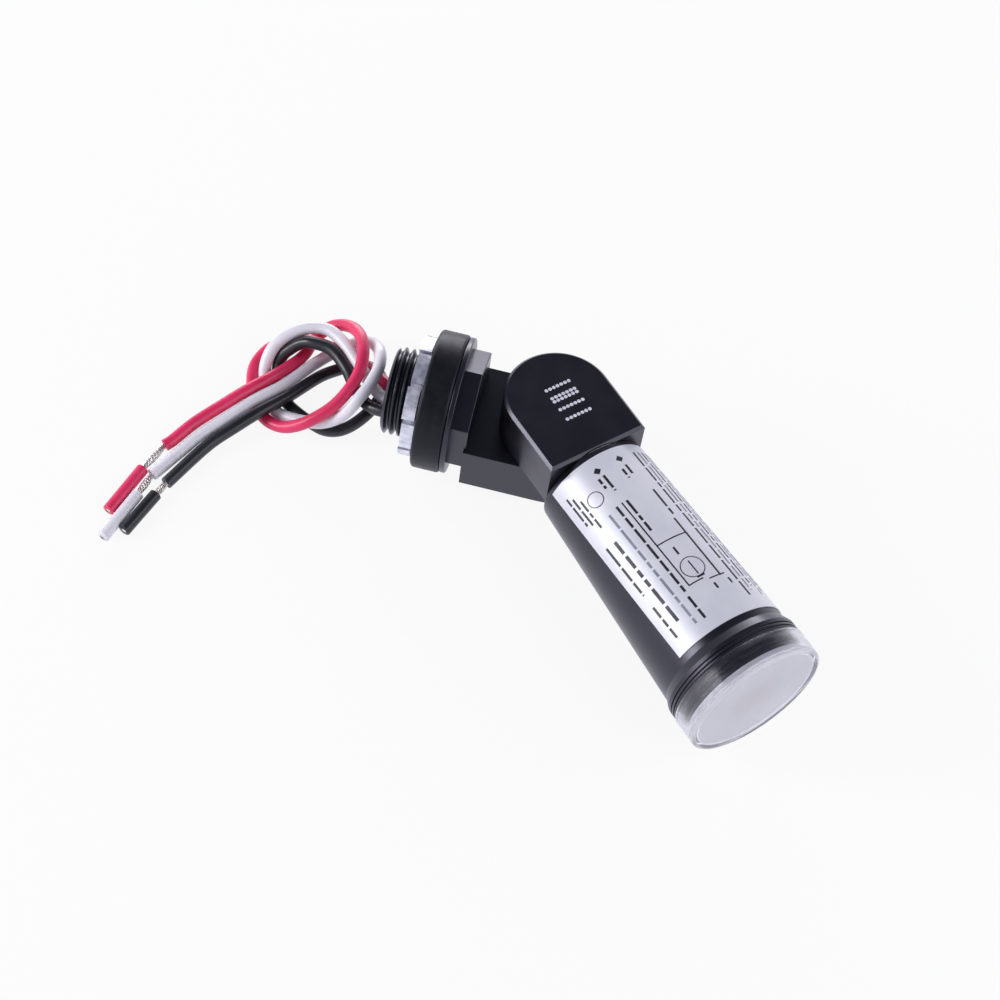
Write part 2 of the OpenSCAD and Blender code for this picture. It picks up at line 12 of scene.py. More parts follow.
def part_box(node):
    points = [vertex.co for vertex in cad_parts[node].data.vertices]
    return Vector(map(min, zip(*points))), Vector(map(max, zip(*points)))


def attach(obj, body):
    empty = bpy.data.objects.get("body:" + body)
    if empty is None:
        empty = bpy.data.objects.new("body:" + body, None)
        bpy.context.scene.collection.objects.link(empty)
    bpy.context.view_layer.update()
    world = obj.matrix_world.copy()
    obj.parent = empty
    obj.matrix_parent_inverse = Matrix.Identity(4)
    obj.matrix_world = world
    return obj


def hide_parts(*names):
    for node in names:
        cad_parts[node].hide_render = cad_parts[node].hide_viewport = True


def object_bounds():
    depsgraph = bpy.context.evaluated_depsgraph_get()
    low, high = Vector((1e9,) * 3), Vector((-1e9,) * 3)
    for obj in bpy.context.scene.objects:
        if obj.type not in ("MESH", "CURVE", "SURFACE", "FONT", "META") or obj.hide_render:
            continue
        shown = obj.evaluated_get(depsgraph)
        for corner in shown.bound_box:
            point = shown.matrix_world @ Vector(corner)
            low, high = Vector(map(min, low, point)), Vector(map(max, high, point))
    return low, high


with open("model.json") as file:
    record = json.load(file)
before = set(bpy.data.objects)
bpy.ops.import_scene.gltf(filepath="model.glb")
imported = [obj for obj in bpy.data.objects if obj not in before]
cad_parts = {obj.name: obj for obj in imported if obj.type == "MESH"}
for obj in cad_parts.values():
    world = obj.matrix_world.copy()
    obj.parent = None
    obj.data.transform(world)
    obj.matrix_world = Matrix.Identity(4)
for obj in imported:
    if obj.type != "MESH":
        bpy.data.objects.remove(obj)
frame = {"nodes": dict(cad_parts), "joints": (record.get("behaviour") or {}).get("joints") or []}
cad_low, cad_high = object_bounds()


# Camera: a long lens held above and in front of the switch, rolled a little, so that the stem points
# up to the left and the head runs down to the right across a square picture.
mm = 0.001
view_target = Vector((23.06, -23.14, 0)) * mm
view_distance = 587.3 * mm
view_azimuth = math.radians(5.186)
view_elevation = math.radians(56.177)
view_roll = math.radians(9.333)
focal_mm = 92.45
sensor_mm = 36
near_clip = 10 * mm
view_back = Vector((
    math.sin(view_azimuth) * math.cos(view_elevation),
    -math.cos(view_azimuth) * math.cos(view_elevation),
    math.sin(view_elevation),
))
bpy.ops.object.select_all(action="DESELECT")
bpy.ops.object.camera_add(location=view_target + view_back * view_distance)
camera = bpy.context.object
camera.rotation_mode = "QUATERNION"
camera.rotation_quaternion = view_back.to_track_quat("Z", "Y") @ Quaternion((0, 0, 1), view_roll)
camera.data.lens = focal_mm
camera.data.sensor_width = sensor_mm
camera.data.clip_start = near_clip
bpy.context.scene.camera = camera


# Free leads: three stranded copper wires in extruded vinyl, red, white and black, tied together in one
# loose overhand knot. They come out of the stem's mouth and lie on the bench with their ends stripped.
lead_d = 3
red_route = [
    (-4, 3.2, -4.4), (-9, 3.8, -4.6), (-13.4, 7.1, -6), (-18, 11, -8), (-24, 13.4, -8.6),
    (-30, 14.4, -8.8), (-36, 15.2, -10.4), (-41, 13, -13), (-43.6, 8.8, -15), (-43.1, 3.6, -15.5),
    (-40.7, -2, -15.4), (-37.3, -6, -15.4), (-33, -8.2, -14), (-29, -8.6, -11.6), (-25, -7.2, -8.9),
    (-21, -4, -6.2), (-18.2, 0.5, -3.4), (-17.2, 5, -1.8), (-17.8, 9.8, -1.4), (-19.8, 15, -2.6),
    (-23.4, 19, -5.4), (-28, 20.2, -8.8), (-31.4, 17.8, -12), (-32.8, 13, -12.8), (-35.1, 8.2, -12.1),
    (-37.9, 3.9, -11.5), (-43.1, -1.9, -12), (-47.8, -7.3, -13), (-52.6, -12.9, -14.2),
    (-56.5, -18.9, -15.2), (-57.7, -20.2, -15.5),
]
white_route = [
    (-4, 0, -4.8), (-9, 0.2, -5), (-13.6, 3.1, -5.2), (-18, 8, -4.9), (-23, 13, -4.8), (-28.2, 16.2, -5),
    (-34.2, 15.6, -6.4), (-39.3, 12.1, -9.2), (-40.9, 7.8, -12.5), (-39.7, 3.2, -15.2),
    (-37.8, -0.5, -15.4), (-35, -3.5, -15.4), (-31, -5.2, -14), (-27, -6, -12.7), (-22.5, -6, -11),
    (-18.6, -5, -7.8), (-15.9, -2.8, -3.9), (-14, 0.8, -1.8), (-13, 5.6, -0.8), (-14, 11, -1.8),
    (-16.8, 15.6, -5.4), (-20.6, 17.6, -9.2), (-24.6, 16.8, -12), (-28, 13.8, -13.2), (-31, 9.4, -13),
    (-35.6, 1.9, -12.4), (-40.7, -3.9, -12.5), (-45.4, -9.4, -13.6), (-50.1, -15.1, -14.6),
    (-53.9, -21.5, -15.3), (-58, -28.9, -15.5),
]
black_route = [
    (-4, -3.2, -4.4), (-9, -3.4, -4.8), (-13.5, -1.8, -5.9), (-17.5, 2.2, -6.2), (-21, 7, -6),
    (-26, 11.2, -5.6), (-31.2, 12.2, -6.2), (-33.7, 12.3, -7.6), (-35.8, 11.7, -9.7), (-37.4, 10.7, -11.5),
    (-38.1, 9, -13.4), (-37, 4.8, -15.3), (-34.6, 1.2, -15.5), (-32, -1.2, -15.5), (-26, -4.2, -15.5),
    (-22.3, -5.2, -15.4), (-18.5, -4.6, -14.3), (-14.8, -1.8, -12.3), (-12.2, 2.4, -10.4),
    (-11.8, 6.6, -9.6), (-13.6, 10.4, -9.8), (-16.8, 12.8, -11.2), (-20.6, 13.2, -12.9),
    (-24.2, 11.4, -13.6), (-27.6, 8, -13.2), (-33.3, -0.5, -12.4), (-38.3, -6.4, -12.4),
    (-43.1, -11.8, -13.6), (-47.7, -17.4, -14.8), (-54.2, -30.3, -15.5),
]
lead_routes = {"red": red_route, "white": white_route, "black": black_route}
lead_tips = {
    "red": ((-60.6, -28, -15.5), (-64.7, -41.3, -15.5)),
    "white": ((-59.6, -35, -15.5), (-63.7, -48.6, -15.5)),
    "black": ((-55.6, -34, -15.5), (-59.6, -45.6, -15.5)),
}
lead_side_steps = 6
lead_bend_steps = 10
grain_detail = 3
mottle_detail = 5
tone_span = (0.35, 0.65)
gloss_span = (0.3, 0.7)
coat_roughness = 0.15
lead_colours = {
    "red": ((0.68, 0.018, 0.088), (0.86, 0.03, 0.135)),
    "white": ((0.8, 0.78, 0.82), (0.9, 0.88, 0.91)),
    "black": ((0.006, 0.007, 0.01), (0.012, 0.013, 0.018)),
}


def build_moulded_surface():
    """Shared effect for moulded and extruded surfaces: a fine grain as a height, and a slow mottle."""
    group = bpy.data.node_groups.new("moulded_surface", "ShaderNodeTree")
    group.interface.new_socket("Vector", in_out="INPUT", socket_type="NodeSocketVector")
    group.interface.new_socket("Grain Scale", in_out="INPUT", socket_type="NodeSocketFloat")
    group.interface.new_socket("Mottle Scale", in_out="INPUT", socket_type="NodeSocketFloat")
    group.interface.new_socket("Height", in_out="OUTPUT", socket_type="NodeSocketFloat")
    group.interface.new_socket("Mottle", in_out="OUTPUT", socket_type="NodeSocketFloat")
    inputs = group.nodes.new("NodeGroupInput")
    outputs = group.nodes.new("NodeGroupOutput")
    for noise_name, scale, out, detail in (
        ("grain", "Grain Scale", "Height", grain_detail),
        ("mottle", "Mottle Scale", "Mottle", mottle_detail),
    ):
        noise = group.nodes.new("ShaderNodeTexNoise")
        noise.name = noise_name
        noise.inputs["Detail"].default_value = detail
        group.links.new(inputs.outputs["Vector"], noise.inputs["Vector"])
        group.links.new(inputs.outputs[scale], noise.inputs["Scale"])
        group.links.new(noise.outputs["Fac"], outputs.inputs[out])
    return group


moulded_surface = build_moulded_surface()


def moulded(
    name, colours, roughness, grain=0.4, mottle=6, bump=0.01, coat=0, metallic=0, tint=(1, 1, 1), ior=1.5
):
    """Material of a moulded or pressed piece: two tones and two roughnesses mixed by its mottle, and a grain.
    grain and mottle are sizes in millimetres, bump is how high the grain stands, in millimetres, and tint is
    the colour of its gloss."""
    made = bpy.data.materials.new(name)
    made.use_nodes = True
    tree = made.node_tree
    shader = tree.nodes["Principled BSDF"]
    shader.inputs["Specular Tint"].default_value = (*tint, 1)
    shader.inputs["IOR"].default_value = ior
    shader.inputs["Coat Weight"].default_value = coat
    shader.inputs["Coat Roughness"].default_value = coat_roughness
    shader.inputs["Metallic"].default_value = metallic
    place = tree.nodes.new("ShaderNodeTexCoord")
    surface = tree.nodes.new("ShaderNodeGroup")
    surface.node_tree = moulded_surface
    surface.inputs["Grain Scale"].default_value = 1 / (grain * mm)
    surface.inputs["Mottle Scale"].default_value = 1 / (mottle * mm)
    tone = tree.nodes.new("ShaderNodeValToRGB")
    for stop, position, colour in zip(tone.color_ramp.elements, tone_span, colours):
        stop.position = position
        stop.color = (*colour, 1)
    gloss = tree.nodes.new("ShaderNodeMapRange")
    gloss.inputs["From Min"].default_value = gloss_span[0]
    gloss.inputs["From Max"].default_value = gloss_span[1]
    gloss.inputs["To Min"].default_value = roughness[0]
    gloss.inputs["To Max"].default_value = roughness[1]
    relief = tree.nodes.new("ShaderNodeBump")
    relief.inputs["Strength"].default_value = 1
    relief.inputs["Distance"].default_value = bump * mm
    tree.links.new(place.outputs["Object"], surface.inputs["Vector"])
    tree.links.new(surface.outputs["Mottle"], tone.inputs["Fac"])
    tree.links.new(surface.outputs["Mottle"], gloss.inputs["Value"])
    tree.links.new(surface.outputs["Height"], relief.inputs["Height"])
    tree.links.new(tone.outputs["Color"], shader.inputs["Base Color"])
    tree.links.new(gloss.outputs["Result"], shader.inputs["Roughness"])
    tree.links.new(relief.outputs["Normal"], shader.inputs["Normal"])
    return made


def lay_curve(name, lines, thickness, side_steps=lead_side_steps):
    """Round wire along one or more lines of points in millimetres, with smooth bends through every point."""
    data = bpy.data.curves.new(name, "CURVE")
    data.dimensions = "3D"
    data.bevel_depth = thickness / 2 * mm
    data.bevel_resolution = side_steps
    data.resolution_u = lead_bend_steps
    data.use_fill_caps = True
    for line in lines:
        points = [Vector(p) * mm for p in line]
        spline = data.splines.new("BEZIER")
        spline.bezier_points.add(len(points) - 1)
        for i, (point, knot) in enumerate(zip(points, spline.bezier_points)):
            before, after = points[max(i - 1, 0)], points[min(i + 1, len(points) - 1)]
            heading = (after - before).normalized()
            knot.co = point
            knot.handle_left = point - heading * (point - before).length / 3
            knot.handle_right = point + heading * (after - point).length / 3
    piece = bpy.data.objects.new(name, data)
    bpy.context.scene.collection.objects.link(piece)
    return piece


lead_finish = {
    colour: moulded(f"{colour}_vinyl", tones, (0.32, 0.46), grain=0.5, mottle=9, bump=0.004, coat=0.12)
    for colour, tones in lead_colours.items()
}
leads = {}
for colour, route in lead_routes.items():
    leads[colour] = lay_curve(f"{colour}_lead", [route], lead_d)
    leads[colour].data.materials.append(lead_finish[colour])
    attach(leads[colour], "stem")
    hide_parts(f"lead_{colour}")


# Bare strands: fine tinned copper wires between the end of each lead's insulation and the piece of
# insulation left on its tip. They are twisted round each other and bulge a little where they are bare.
strand_count = 7
strand_d = 0.34
strand_spread = 0.42
strand_bulge = 0.35
strand_twist = 1.6
strand_overlap = 0.6
strand_steps = 14
strand_side_steps = 3
bare_metal = moulded(
    "tinned_copper", ((0.55, 0.48, 0.42), (0.78, 0.77, 0.76)), (0.22, 0.4), grain=0.1, mottle=0.8, bump=0.004,
    metallic=1,
)


def strand_lines(start, end):
    """Lines of the single wires of a bare end: one in the middle and the rest twisted round it."""
    start, end = Vector(start), Vector(end)
    along = (end - start).normalized()
    side = along.cross(Vector((0, 0, 1))).normalized()
    up = side.cross(along)
    lines = []
    for wire in range(strand_count):
        line = []
        for i in range(strand_steps + 1):
            share = i / strand_steps
            reach = -strand_overlap + share * ((end - start).length + 2 * strand_overlap)
            swell = strand_spread + strand_bulge * math.sin(math.pi * share) ** 2
            radius = 0 if wire == 0 else swell
            angle = 2 * math.pi * (wire / (strand_count - 1) + strand_twist * share)
            line.append(start + along * reach + (side * math.cos(angle) + up * math.sin(angle)) * radius)
        lines.append(line)
    return lines


def pick(piece):
    """Makes a piece the only one selected, and the active one."""
    bpy.ops.object.select_all(action="DESELECT")
    piece.select_set(True)
    bpy.context.view_layer.objects.active = piece


for colour, route in lead_routes.items():
    wires = strand_lines(route[-1], lead_tips[colour][0])
    piece = lay_curve(f"{colour}_strands", wires, strand_d, strand_side_steps)
    piece.data.materials.append(bare_metal)
    pick(piece)
    bpy.ops.object.convert(target="MESH")
    bpy.ops.object.shade_smooth()
    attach(piece, "stem")
    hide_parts(f"strands_{colour}")


# Lead tips: the short pieces of insulation that were cut round and slid along, still on the ends of the
# strands. Each is a cut length of the same vinyl tube with the wire's end showing in it.
tip_bore = 0.6
tip_edge = 0.15
tip_steps = 40
wire_rim = 0.12
wire_sink = 0.15
edge_steps = 3
end_facing = 0.9
end_near = 0.015
sharp_angle = math.radians(30)


def select_faces(piece, test):
    """Selects, in edit mode, just the faces whose middle and normal pass the test."""
    shape = bmesh.from_edit_mesh(piece.data)
    for face in shape.faces:
        face.select = False
    for face in shape.faces:
        if test(face.calc_center_median(), face.normal):
            face.select = True
    shape.select_flush_mode()
    bmesh.update_edit_mesh(piece.data)


def fix_place():
    """Leaves the active piece's place, turn and size in its mesh."""
    bpy.ops.object.transform_apply(location=True, rotation=True, scale=True)


def put(piece, place):
    """Moves a piece to its place, and leaves the place in its mesh."""
    pick(piece)
    piece.matrix_world = place @ piece.matrix_world
    fix_place()
    return piece


def apply_modifier(piece, modifier):
    """Applies a modifier to a piece."""
    pick(piece)
    bpy.ops.object.modifier_apply(modifier=modifier.name)


def settle(piece, place=Matrix.Identity(4)):
    """Puts a finished piece in its place, smooths its gentle edges and lets its flat faces shade flat."""
    put(piece, place)
    bpy.ops.object.shade_smooth_by_angle(angle=sharp_angle)
    flatten = piece.modifiers.new("Flatten", "WEIGHTED_NORMAL")
    flatten.keep_sharp = True
    apply_modifier(piece, flatten)
    return piece


for colour, (start, end) in lead_tips.items():
    start, end = Vector(start) * mm, Vector(end) * mm
    length = (end - start).length
    bpy.ops.object.select_all(action="DESELECT")
    bpy.ops.mesh.primitive_cylinder_add(vertices=tip_steps, radius=lead_d / 2 * mm, depth=length)
    tip = bpy.context.object
    tip.name = f"{colour}_lead_tip"
    tip.data.materials.append(lead_finish[colour])
    tip.data.materials.append(bare_metal)
    bpy.ops.object.mode_set(mode="EDIT")
    bpy.ops.mesh.select_mode(type="FACE")
    select_faces(tip, lambda middle, normal: abs(normal.z) > end_facing)
    bpy.ops.mesh.bevel(offset=tip_edge * mm, segments=edge_steps, affect="EDGES")
    select_faces(tip, lambda middle, normal: abs(middle.z) > length / 2 - end_near * mm)
    bpy.ops.mesh.inset(thickness=(lead_d / 2 - tip_edge - tip_bore) * mm)
    tip.active_material_index = 1
    bpy.ops.object.material_slot_assign()
    bpy.ops.mesh.inset(thickness=wire_rim * mm, depth=wire_sink * mm)
    bpy.ops.object.mode_set(mode="OBJECT")
    tip_turn = (end - start).to_track_quat("Z", "Y").to_matrix().to_4x4()
    settle(tip, Matrix.Translation((start + end) / 2) @ tip_turn)
    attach(tip, "stem")
    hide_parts(f"lead_tip_{colour}")


# Stem: one moulding of black thermoplastic with the conduit thread, a flange behind the gasket, a hexagon
# for the spanner and the lower half of the swivel, which is cut away to half its height for the lap.
pivot = Vector(frame["joints"][0]["pos_m"])
thread_r = 10.4
thread_depth = 1.15
inch = 25.4
threads_per_inch = 14
thread_pitch = inch / threads_per_inch
thread_lead_in = 1.387
thread_steps = 72
spare_turns = 2
half_root = 0.1
half_crest = 0.1
root_fillet = 0.12
crest_fillet = 0.18
stem_bore_r = 8
lower_bore_r = 7.9
stem_tip = round(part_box("swivel_stem")[0].x / mm, 2)
stem_chamfer = 0.9
flange_x = round(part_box("gasket")[1].x / mm, 2)
flange_r = 16.2
flange_t = 1.3
flange_edge = 0.3
hex_x = flange_x + flange_t
hex_flats = 24
hex_r = hex_flats / math.sqrt(3)
hex_len = 4.1
hex_edge = 0.25
hex_turn = math.radians(30)
knuckle_r = 12.8
knuckle_h = 13
knuckle_edge = 0.7
knuckle_edge_steps = 5
knuckle_edge_profile = 0.28
knuckle_floor = 2.8
lap = 0.15
stem_hole_r = 4.42
seal_groove_r = 9.2
seal_groove_w = 1.7
seal_groove_t = 1.5
pivot_reach = pivot.x / mm - hex_x - hex_len
rod_into_flange = 0.5
hex_into_flange = 0.4
half_into_hex = 0.6
bore_stop = 2
blank_gap = 0.05
blank_over = 0.02
cut_past = 1
touch = 0.01
round_steps = 128
cut_snap = 0.0002 * mm
merge_near = 0.002 * mm
flat_angle = math.radians(0.1)


def rounded(corners, steps=5):
    """Outline points from corners of (x, r, fillet): each fillet becomes an arc of a few steps."""
    flat = [Vector(c[:2]) for c in corners]
    outline = []
    for i, corner in enumerate(corners):
        fillet = corner[2] if len(corner) > 2 else 0
        if not fillet or i in (0, len(corners) - 1):
            outline.append(flat[i])
            continue
        back = (flat[i - 1] - flat[i]).normalized()
        ahead = (flat[i + 1] - flat[i]).normalized()
        half = back.angle(ahead) / 2
        centre = flat[i] + (back + ahead).normalized() * fillet / math.sin(half)
        start = flat[i] + back * fillet / math.tan(half) - centre
        end = flat[i] + ahead * fillet / math.tan(half) - centre
        turn_angle = start.angle_signed(end)
        for k in range(steps + 1):
            outline.append(centre + Matrix.Rotation(-turn_angle * k / steps, 2) @ start)
    return outline


def trace(name, outline):
    """A line of vertices through outline points (x, r), made by extruding one vertex from point to point."""
    bpy.ops.object.select_all(action="DESELECT")
    bpy.ops.mesh.primitive_plane_add(size=mm)
    piece = bpy.context.object
    piece.name = name
    bpy.ops.object.mode_set(mode="EDIT")
    bpy.ops.mesh.select_mode(type="VERT")
    bpy.ops.mesh.select_all(action="SELECT")
    bpy.ops.mesh.merge(type="CENTER")
    here = Vector((0, 0, 0))
    for i, (x, r) in enumerate(outline):
        step = Vector((x, 0, r)) * mm - here
        if i == 0:
            bpy.ops.transform.translate(value=step)
        else:
            bpy.ops.mesh.extrude_vertices_move(TRANSFORM_OT_translate={"value": step})
        here += step
    return piece


def close_shape():
    """Merges the doubles of the shape in edit mode, points its faces outwards and leaves edit mode."""
    bpy.ops.mesh.select_all(action="SELECT")
    bpy.ops.mesh.remove_doubles(threshold=merge_near)
    bpy.ops.mesh.normals_make_consistent(inside=False)
    bpy.ops.object.mode_set(mode="OBJECT")


def turned(name, corners):
    """A turned piece: its outline spun once round the X axis. A ring's outline ends where it starts."""
    piece = trace(name, rounded(corners))
    bpy.ops.mesh.select_all(action="SELECT")
    bpy.ops.mesh.spin(steps=round_steps, angle=2 * math.pi, center=(0, 0, 0), axis=(1, 0, 0))
    close_shape()
    return piece


def combine(piece, other, operation):
    """Joins another solid to a piece, cuts it away, or keeps what both share, and removes the other."""
    modifier = piece.modifiers.new("Combine", "BOOLEAN")
    modifier.operation = operation
    modifier.solver = "EXACT"
    modifier.object = other
    apply_modifier(piece, modifier)
    bpy.data.objects.remove(other)
    return piece


def soften(piece, width):
    """Rounds a piece's sharp edges by a width in millimetres."""
    modifier = piece.modifiers.new("Soften", "BEVEL")
    modifier.width = width * mm
    modifier.segments = edge_steps
    modifier.limit_method = "ANGLE"
    modifier.angle_limit = sharp_angle
    apply_modifier(piece, modifier)
    return piece


def threaded_rod(name, start, end):
    """A rod with the helical thread from start to end along X, chamfered at its start."""
    root_r = thread_r - thread_depth
    outline = rounded([
        (0, root_r),
        (half_root * thread_pitch, root_r, root_fillet),
        ((0.5 - half_crest) * thread_pitch, thread_r, crest_fillet),
        ((0.5 + half_crest) * thread_pitch, thread_r, crest_fillet),
        ((1 - half_root) * thread_pitch, root_r, root_fillet),
        (thread_pitch, root_r),
    ], steps=edge_steps)
    first = start - thread_lead_in * thread_pitch
    rod = trace(name, [(x + first, r) for x, r in outline])
    bpy.ops.object.mode_set(mode="OBJECT")
    winding = rod.modifiers.new("Winding", "SCREW")
    winding.axis = "X"
    winding.screw_offset = thread_pitch * mm
    winding.iterations = math.ceil((end - first) / thread_pitch) + spare_turns
    winding.steps = winding.render_steps = thread_steps
    apply_modifier(rod, winding)
    bpy.ops.object.mode_set(mode="EDIT")
    bpy.ops.mesh.select_all(action="SELECT")
    bpy.ops.mesh.remove_doubles(threshold=merge_near)
    for place, side in ((start, -1), (end, 1)):
        bpy.ops.mesh.select_all(action="SELECT")
        bpy.ops.mesh.bisect(
            plane_co=(place * mm, 0, 0), plane_no=(side, 0, 0), use_fill=True, clear_outer=True,
            threshold=cut_snap,
        )
    close_shape()
    blank = turned(f"{name}_blank", [
        (start - blank_gap, 0),
        (start - blank_gap, thread_r - stem_chamfer),
        (start + stem_chamfer, thread_r + blank_over),
        (end + cut_past, thread_r + blank_over),
        (end + cut_past, 0),
    ])
    return combine(rod, blank, "INTERSECT")


def select_edges(piece, test):
    """Selects, in edit mode, just the edges whose two ends both pass the test."""
    bpy.ops.mesh.select_mode(type="EDGE")
    shape = bmesh.from_edit_mesh(piece.data)
    for edge in shape.edges:
        edge.select = False
    for edge in shape.edges:
        if all(test(vertex.co) for vertex in edge.verts):
            edge.select = True
    shape.select_flush_mode()
    bmesh.update_edit_mesh(piece.data)


def knuckle_half(name, reach):
    """Half-lap block over the lap plane: half a disc about Z, drawn out along +X, then raised and rounded."""
    bpy.ops.object.select_all(action="DESELECT")
    bpy.ops.mesh.primitive_circle_add(
        vertices=round_steps, radius=knuckle_r * mm, fill_type="NGON", location=(0, 0, lap * mm)
    )
    block = bpy.context.object
    block.name = name
    fix_place()
    bpy.ops.object.mode_set(mode="EDIT")
    bpy.ops.mesh.select_all(action="SELECT")
    bpy.ops.mesh.bisect(plane_co=(0, 0, 0), plane_no=(1, 0, 0), clear_outer=True, threshold=cut_snap)
    select_edges(block, lambda co: co.x > -touch * mm)
    bpy.ops.mesh.extrude_region_move(TRANSFORM_OT_translate={"value": (reach * mm, 0, 0)})
    bpy.ops.mesh.select_all(action="SELECT")
    bpy.ops.mesh.dissolve_limited(angle_limit=flat_angle)
    bpy.ops.mesh.select_all(action="SELECT")
    bpy.ops.mesh.extrude_region_move(TRANSFORM_OT_translate={"value": (0, 0, (knuckle_h - lap) * mm)})
    close_shape()
    bpy.ops.object.mode_set(mode="EDIT")
    select_edges(block, lambda co: co.z > (knuckle_h - touch) * mm)
    bpy.ops.mesh.bevel(
        offset=knuckle_edge * mm, segments=knuckle_edge_steps, profile=knuckle_edge_profile, affect="EDGES"
    )
    bpy.ops.object.mode_set(mode="OBJECT")
    return block


def round_bar(name, start, end, radius, vertices=round_steps):
    """A plain bar along X from start to end, as a tool for joining or cutting."""
    bpy.ops.object.select_all(action="DESELECT")
    bpy.ops.mesh.primitive_cylinder_add(vertices=vertices, radius=radius * mm, depth=(end - start) * mm)
    bar = bpy.context.object
    bar.name = name
    bar.matrix_world = (
        Matrix.Translation(((start + end) / 2 * mm, 0, 0)) @ Matrix.Rotation(math.radians(90), 4, "Y")
    )
    fix_place()
    return bar


def pivot_hole(name, low, high, radius):
    """A cutter along the swivel axis from low to high, with the axis at the origin."""
    bpy.ops.object.select_all(action="DESELECT")
    bpy.ops.mesh.primitive_cylinder_add(
        vertices=round_steps, radius=radius * mm, depth=(high - low) * mm,
        location=(0, 0, (low + high) / 2 * mm),
    )
    hole = bpy.context.object
    hole.name = name
    fix_place()
    return hole


def give_finish(piece, finish):
    """Gives a whole piece one finish."""
    piece.data.materials.clear()
    piece.data.materials.append(finish)


cool_gloss = (0.87, 0.86, 1)
black_plastic = moulded(
    "black_plastic", ((0.004, 0.004, 0.006), (0.007, 0.007, 0.01)), (0.28, 0.34), grain=0.3, mottle=7,
    bump=0.003, tint=cool_gloss, ior=1.58,
)
stem = threaded_rod("stem", stem_tip, flange_x + rod_into_flange)
flange = turned("flange", [
    (flange_x, 0), (flange_x, flange_r, flange_edge), (hex_x, flange_r, flange_edge), (hex_x, 0),
])
combine(stem, flange, "UNION")
hexagon = round_bar("hexagon", hex_x - hex_into_flange, hex_x + hex_len, hex_r, vertices=6)
hexagon.matrix_world = Matrix.Rotation(hex_turn, 4, "X")
fix_place()
soften(hexagon, hex_edge)
combine(stem, hexagon, "UNION")
stem_half = knuckle_half("stem_half", pivot_reach + half_into_hex)
put(stem_half, Matrix.Translation(pivot) @ Matrix.Rotation(math.pi, 4, "Y"))
combine(stem, stem_half, "UNION")
upper_bore = round_bar("upper_bore", stem_tip - cut_past, hex_x + hex_len - bore_stop, stem_bore_r)
combine(stem, upper_bore, "DIFFERENCE")
lower_bore = round_bar("lower_bore", hex_x, pivot.x / mm + stem_bore_r, lower_bore_r)
bpy.ops.object.mode_set(mode="EDIT")
bpy.ops.mesh.select_all(action="SELECT")
bpy.ops.mesh.bisect(
    plane_co=(0, 0, -(lap + knuckle_floor) * mm), plane_no=(0, 0, 1), use_fill=True, clear_outer=True,
    threshold=cut_snap,
)
close_shape()
combine(stem, lower_bore, "DIFFERENCE")
groove_floor = -lap - seal_groove_t
eyelet_hole = pivot_hole("eyelet_hole", -knuckle_floor - cut_past, cut_past, stem_hole_r)
seal_groove = pivot_hole("seal_groove", groove_floor, cut_past, seal_groove_r + seal_groove_w / 2)
seal_island = pivot_hole(
    "seal_island", groove_floor - cut_past, 2 * cut_past, seal_groove_r - seal_groove_w / 2
)
combine(seal_groove, seal_island, "DIFFERENCE")
for cutter in (eyelet_hole, seal_groove):
    combine(stem, put(cutter, Matrix.Translation(pivot)), "DIFFERENCE")
give_finish(stem, black_plastic)
settle(stem)
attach(stem, "stem")
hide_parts("swivel_stem")


# Gasket: a thick ring of soft black rubber on the stem behind the box wall. It is moulded in two halves,
# which leaves a fine parting line round the middle of its rim.
gasket_r = 16.5
gasket_bore_r = 10.6
gasket_edge = 0.9
parting_h = 0.06
parting_w = 0.3
gasket_mid = flange_x / 2
black_rubber = moulded(
    "black_rubber", ((0.004, 0.004, 0.006), (0.009, 0.009, 0.012)), (0.38, 0.48), grain=0.2, mottle=2.5,
    bump=0.006, tint=cool_gloss, ior=1.34,
)
gasket = turned("gasket_ring", [
    (0, gasket_bore_r), (0, gasket_r, gasket_edge), (gasket_mid - parting_w, gasket_r),
    (gasket_mid, gasket_r + parting_h), (gasket_mid + parting_w, gasket_r),
    (flange_x, gasket_r, gasket_edge), (flange_x, gasket_bore_r), (0, gasket_bore_r),
])
give_finish(gasket, black_rubber)
settle(gasket)
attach(gasket, "stem")
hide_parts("gasket")


# Locknut: a ring of pressed steel with bright zinc plate, run up the thread to the gasket. Its rim is cut
# into lugs that a screwdriver taps round, and every other lug is set a little towards the stem's tip.
nut_x0, nut_x1 = (round(corner.x / mm, 2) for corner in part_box("locknut"))
nut_ring_r = 12.7
nut_r = 14.3
nut_bore_r = 10.5
lug_count = 10
lug_steps = 16
notch_steps = 2
lug_turn = math.radians(27)
lug_set = 0.3
nut_edge = 0.3
rim_facing = 0.5
zinc_plate = moulded(
    "zinc_plate", ((0.55, 0.56, 0.62), (0.86, 0.87, 0.92)), (0.44, 0.58), grain=0.6, mottle=1.8, bump=0.012,
    metallic=1,
)
locknut = round_bar("locknut_ring", nut_x0, nut_x1, nut_ring_r, vertices=lug_count * lug_steps)


def lug_place(co):
    """Which lug a place round the nut belongs to, and how far it is from that lug's middle, in steps."""
    turn = (math.atan2(co.z, co.y) - lug_turn) / (2 * math.pi) * lug_count
    lug = round(turn)
    return lug % lug_count, (turn - lug) * lug_steps


def is_lug_rim(middle, normal):
    """The ring's outer faces that lie on a lug and not on a notch."""
    return abs(normal.x) < rim_facing and abs(lug_place(middle)[1]) < (lug_steps - notch_steps) / 2


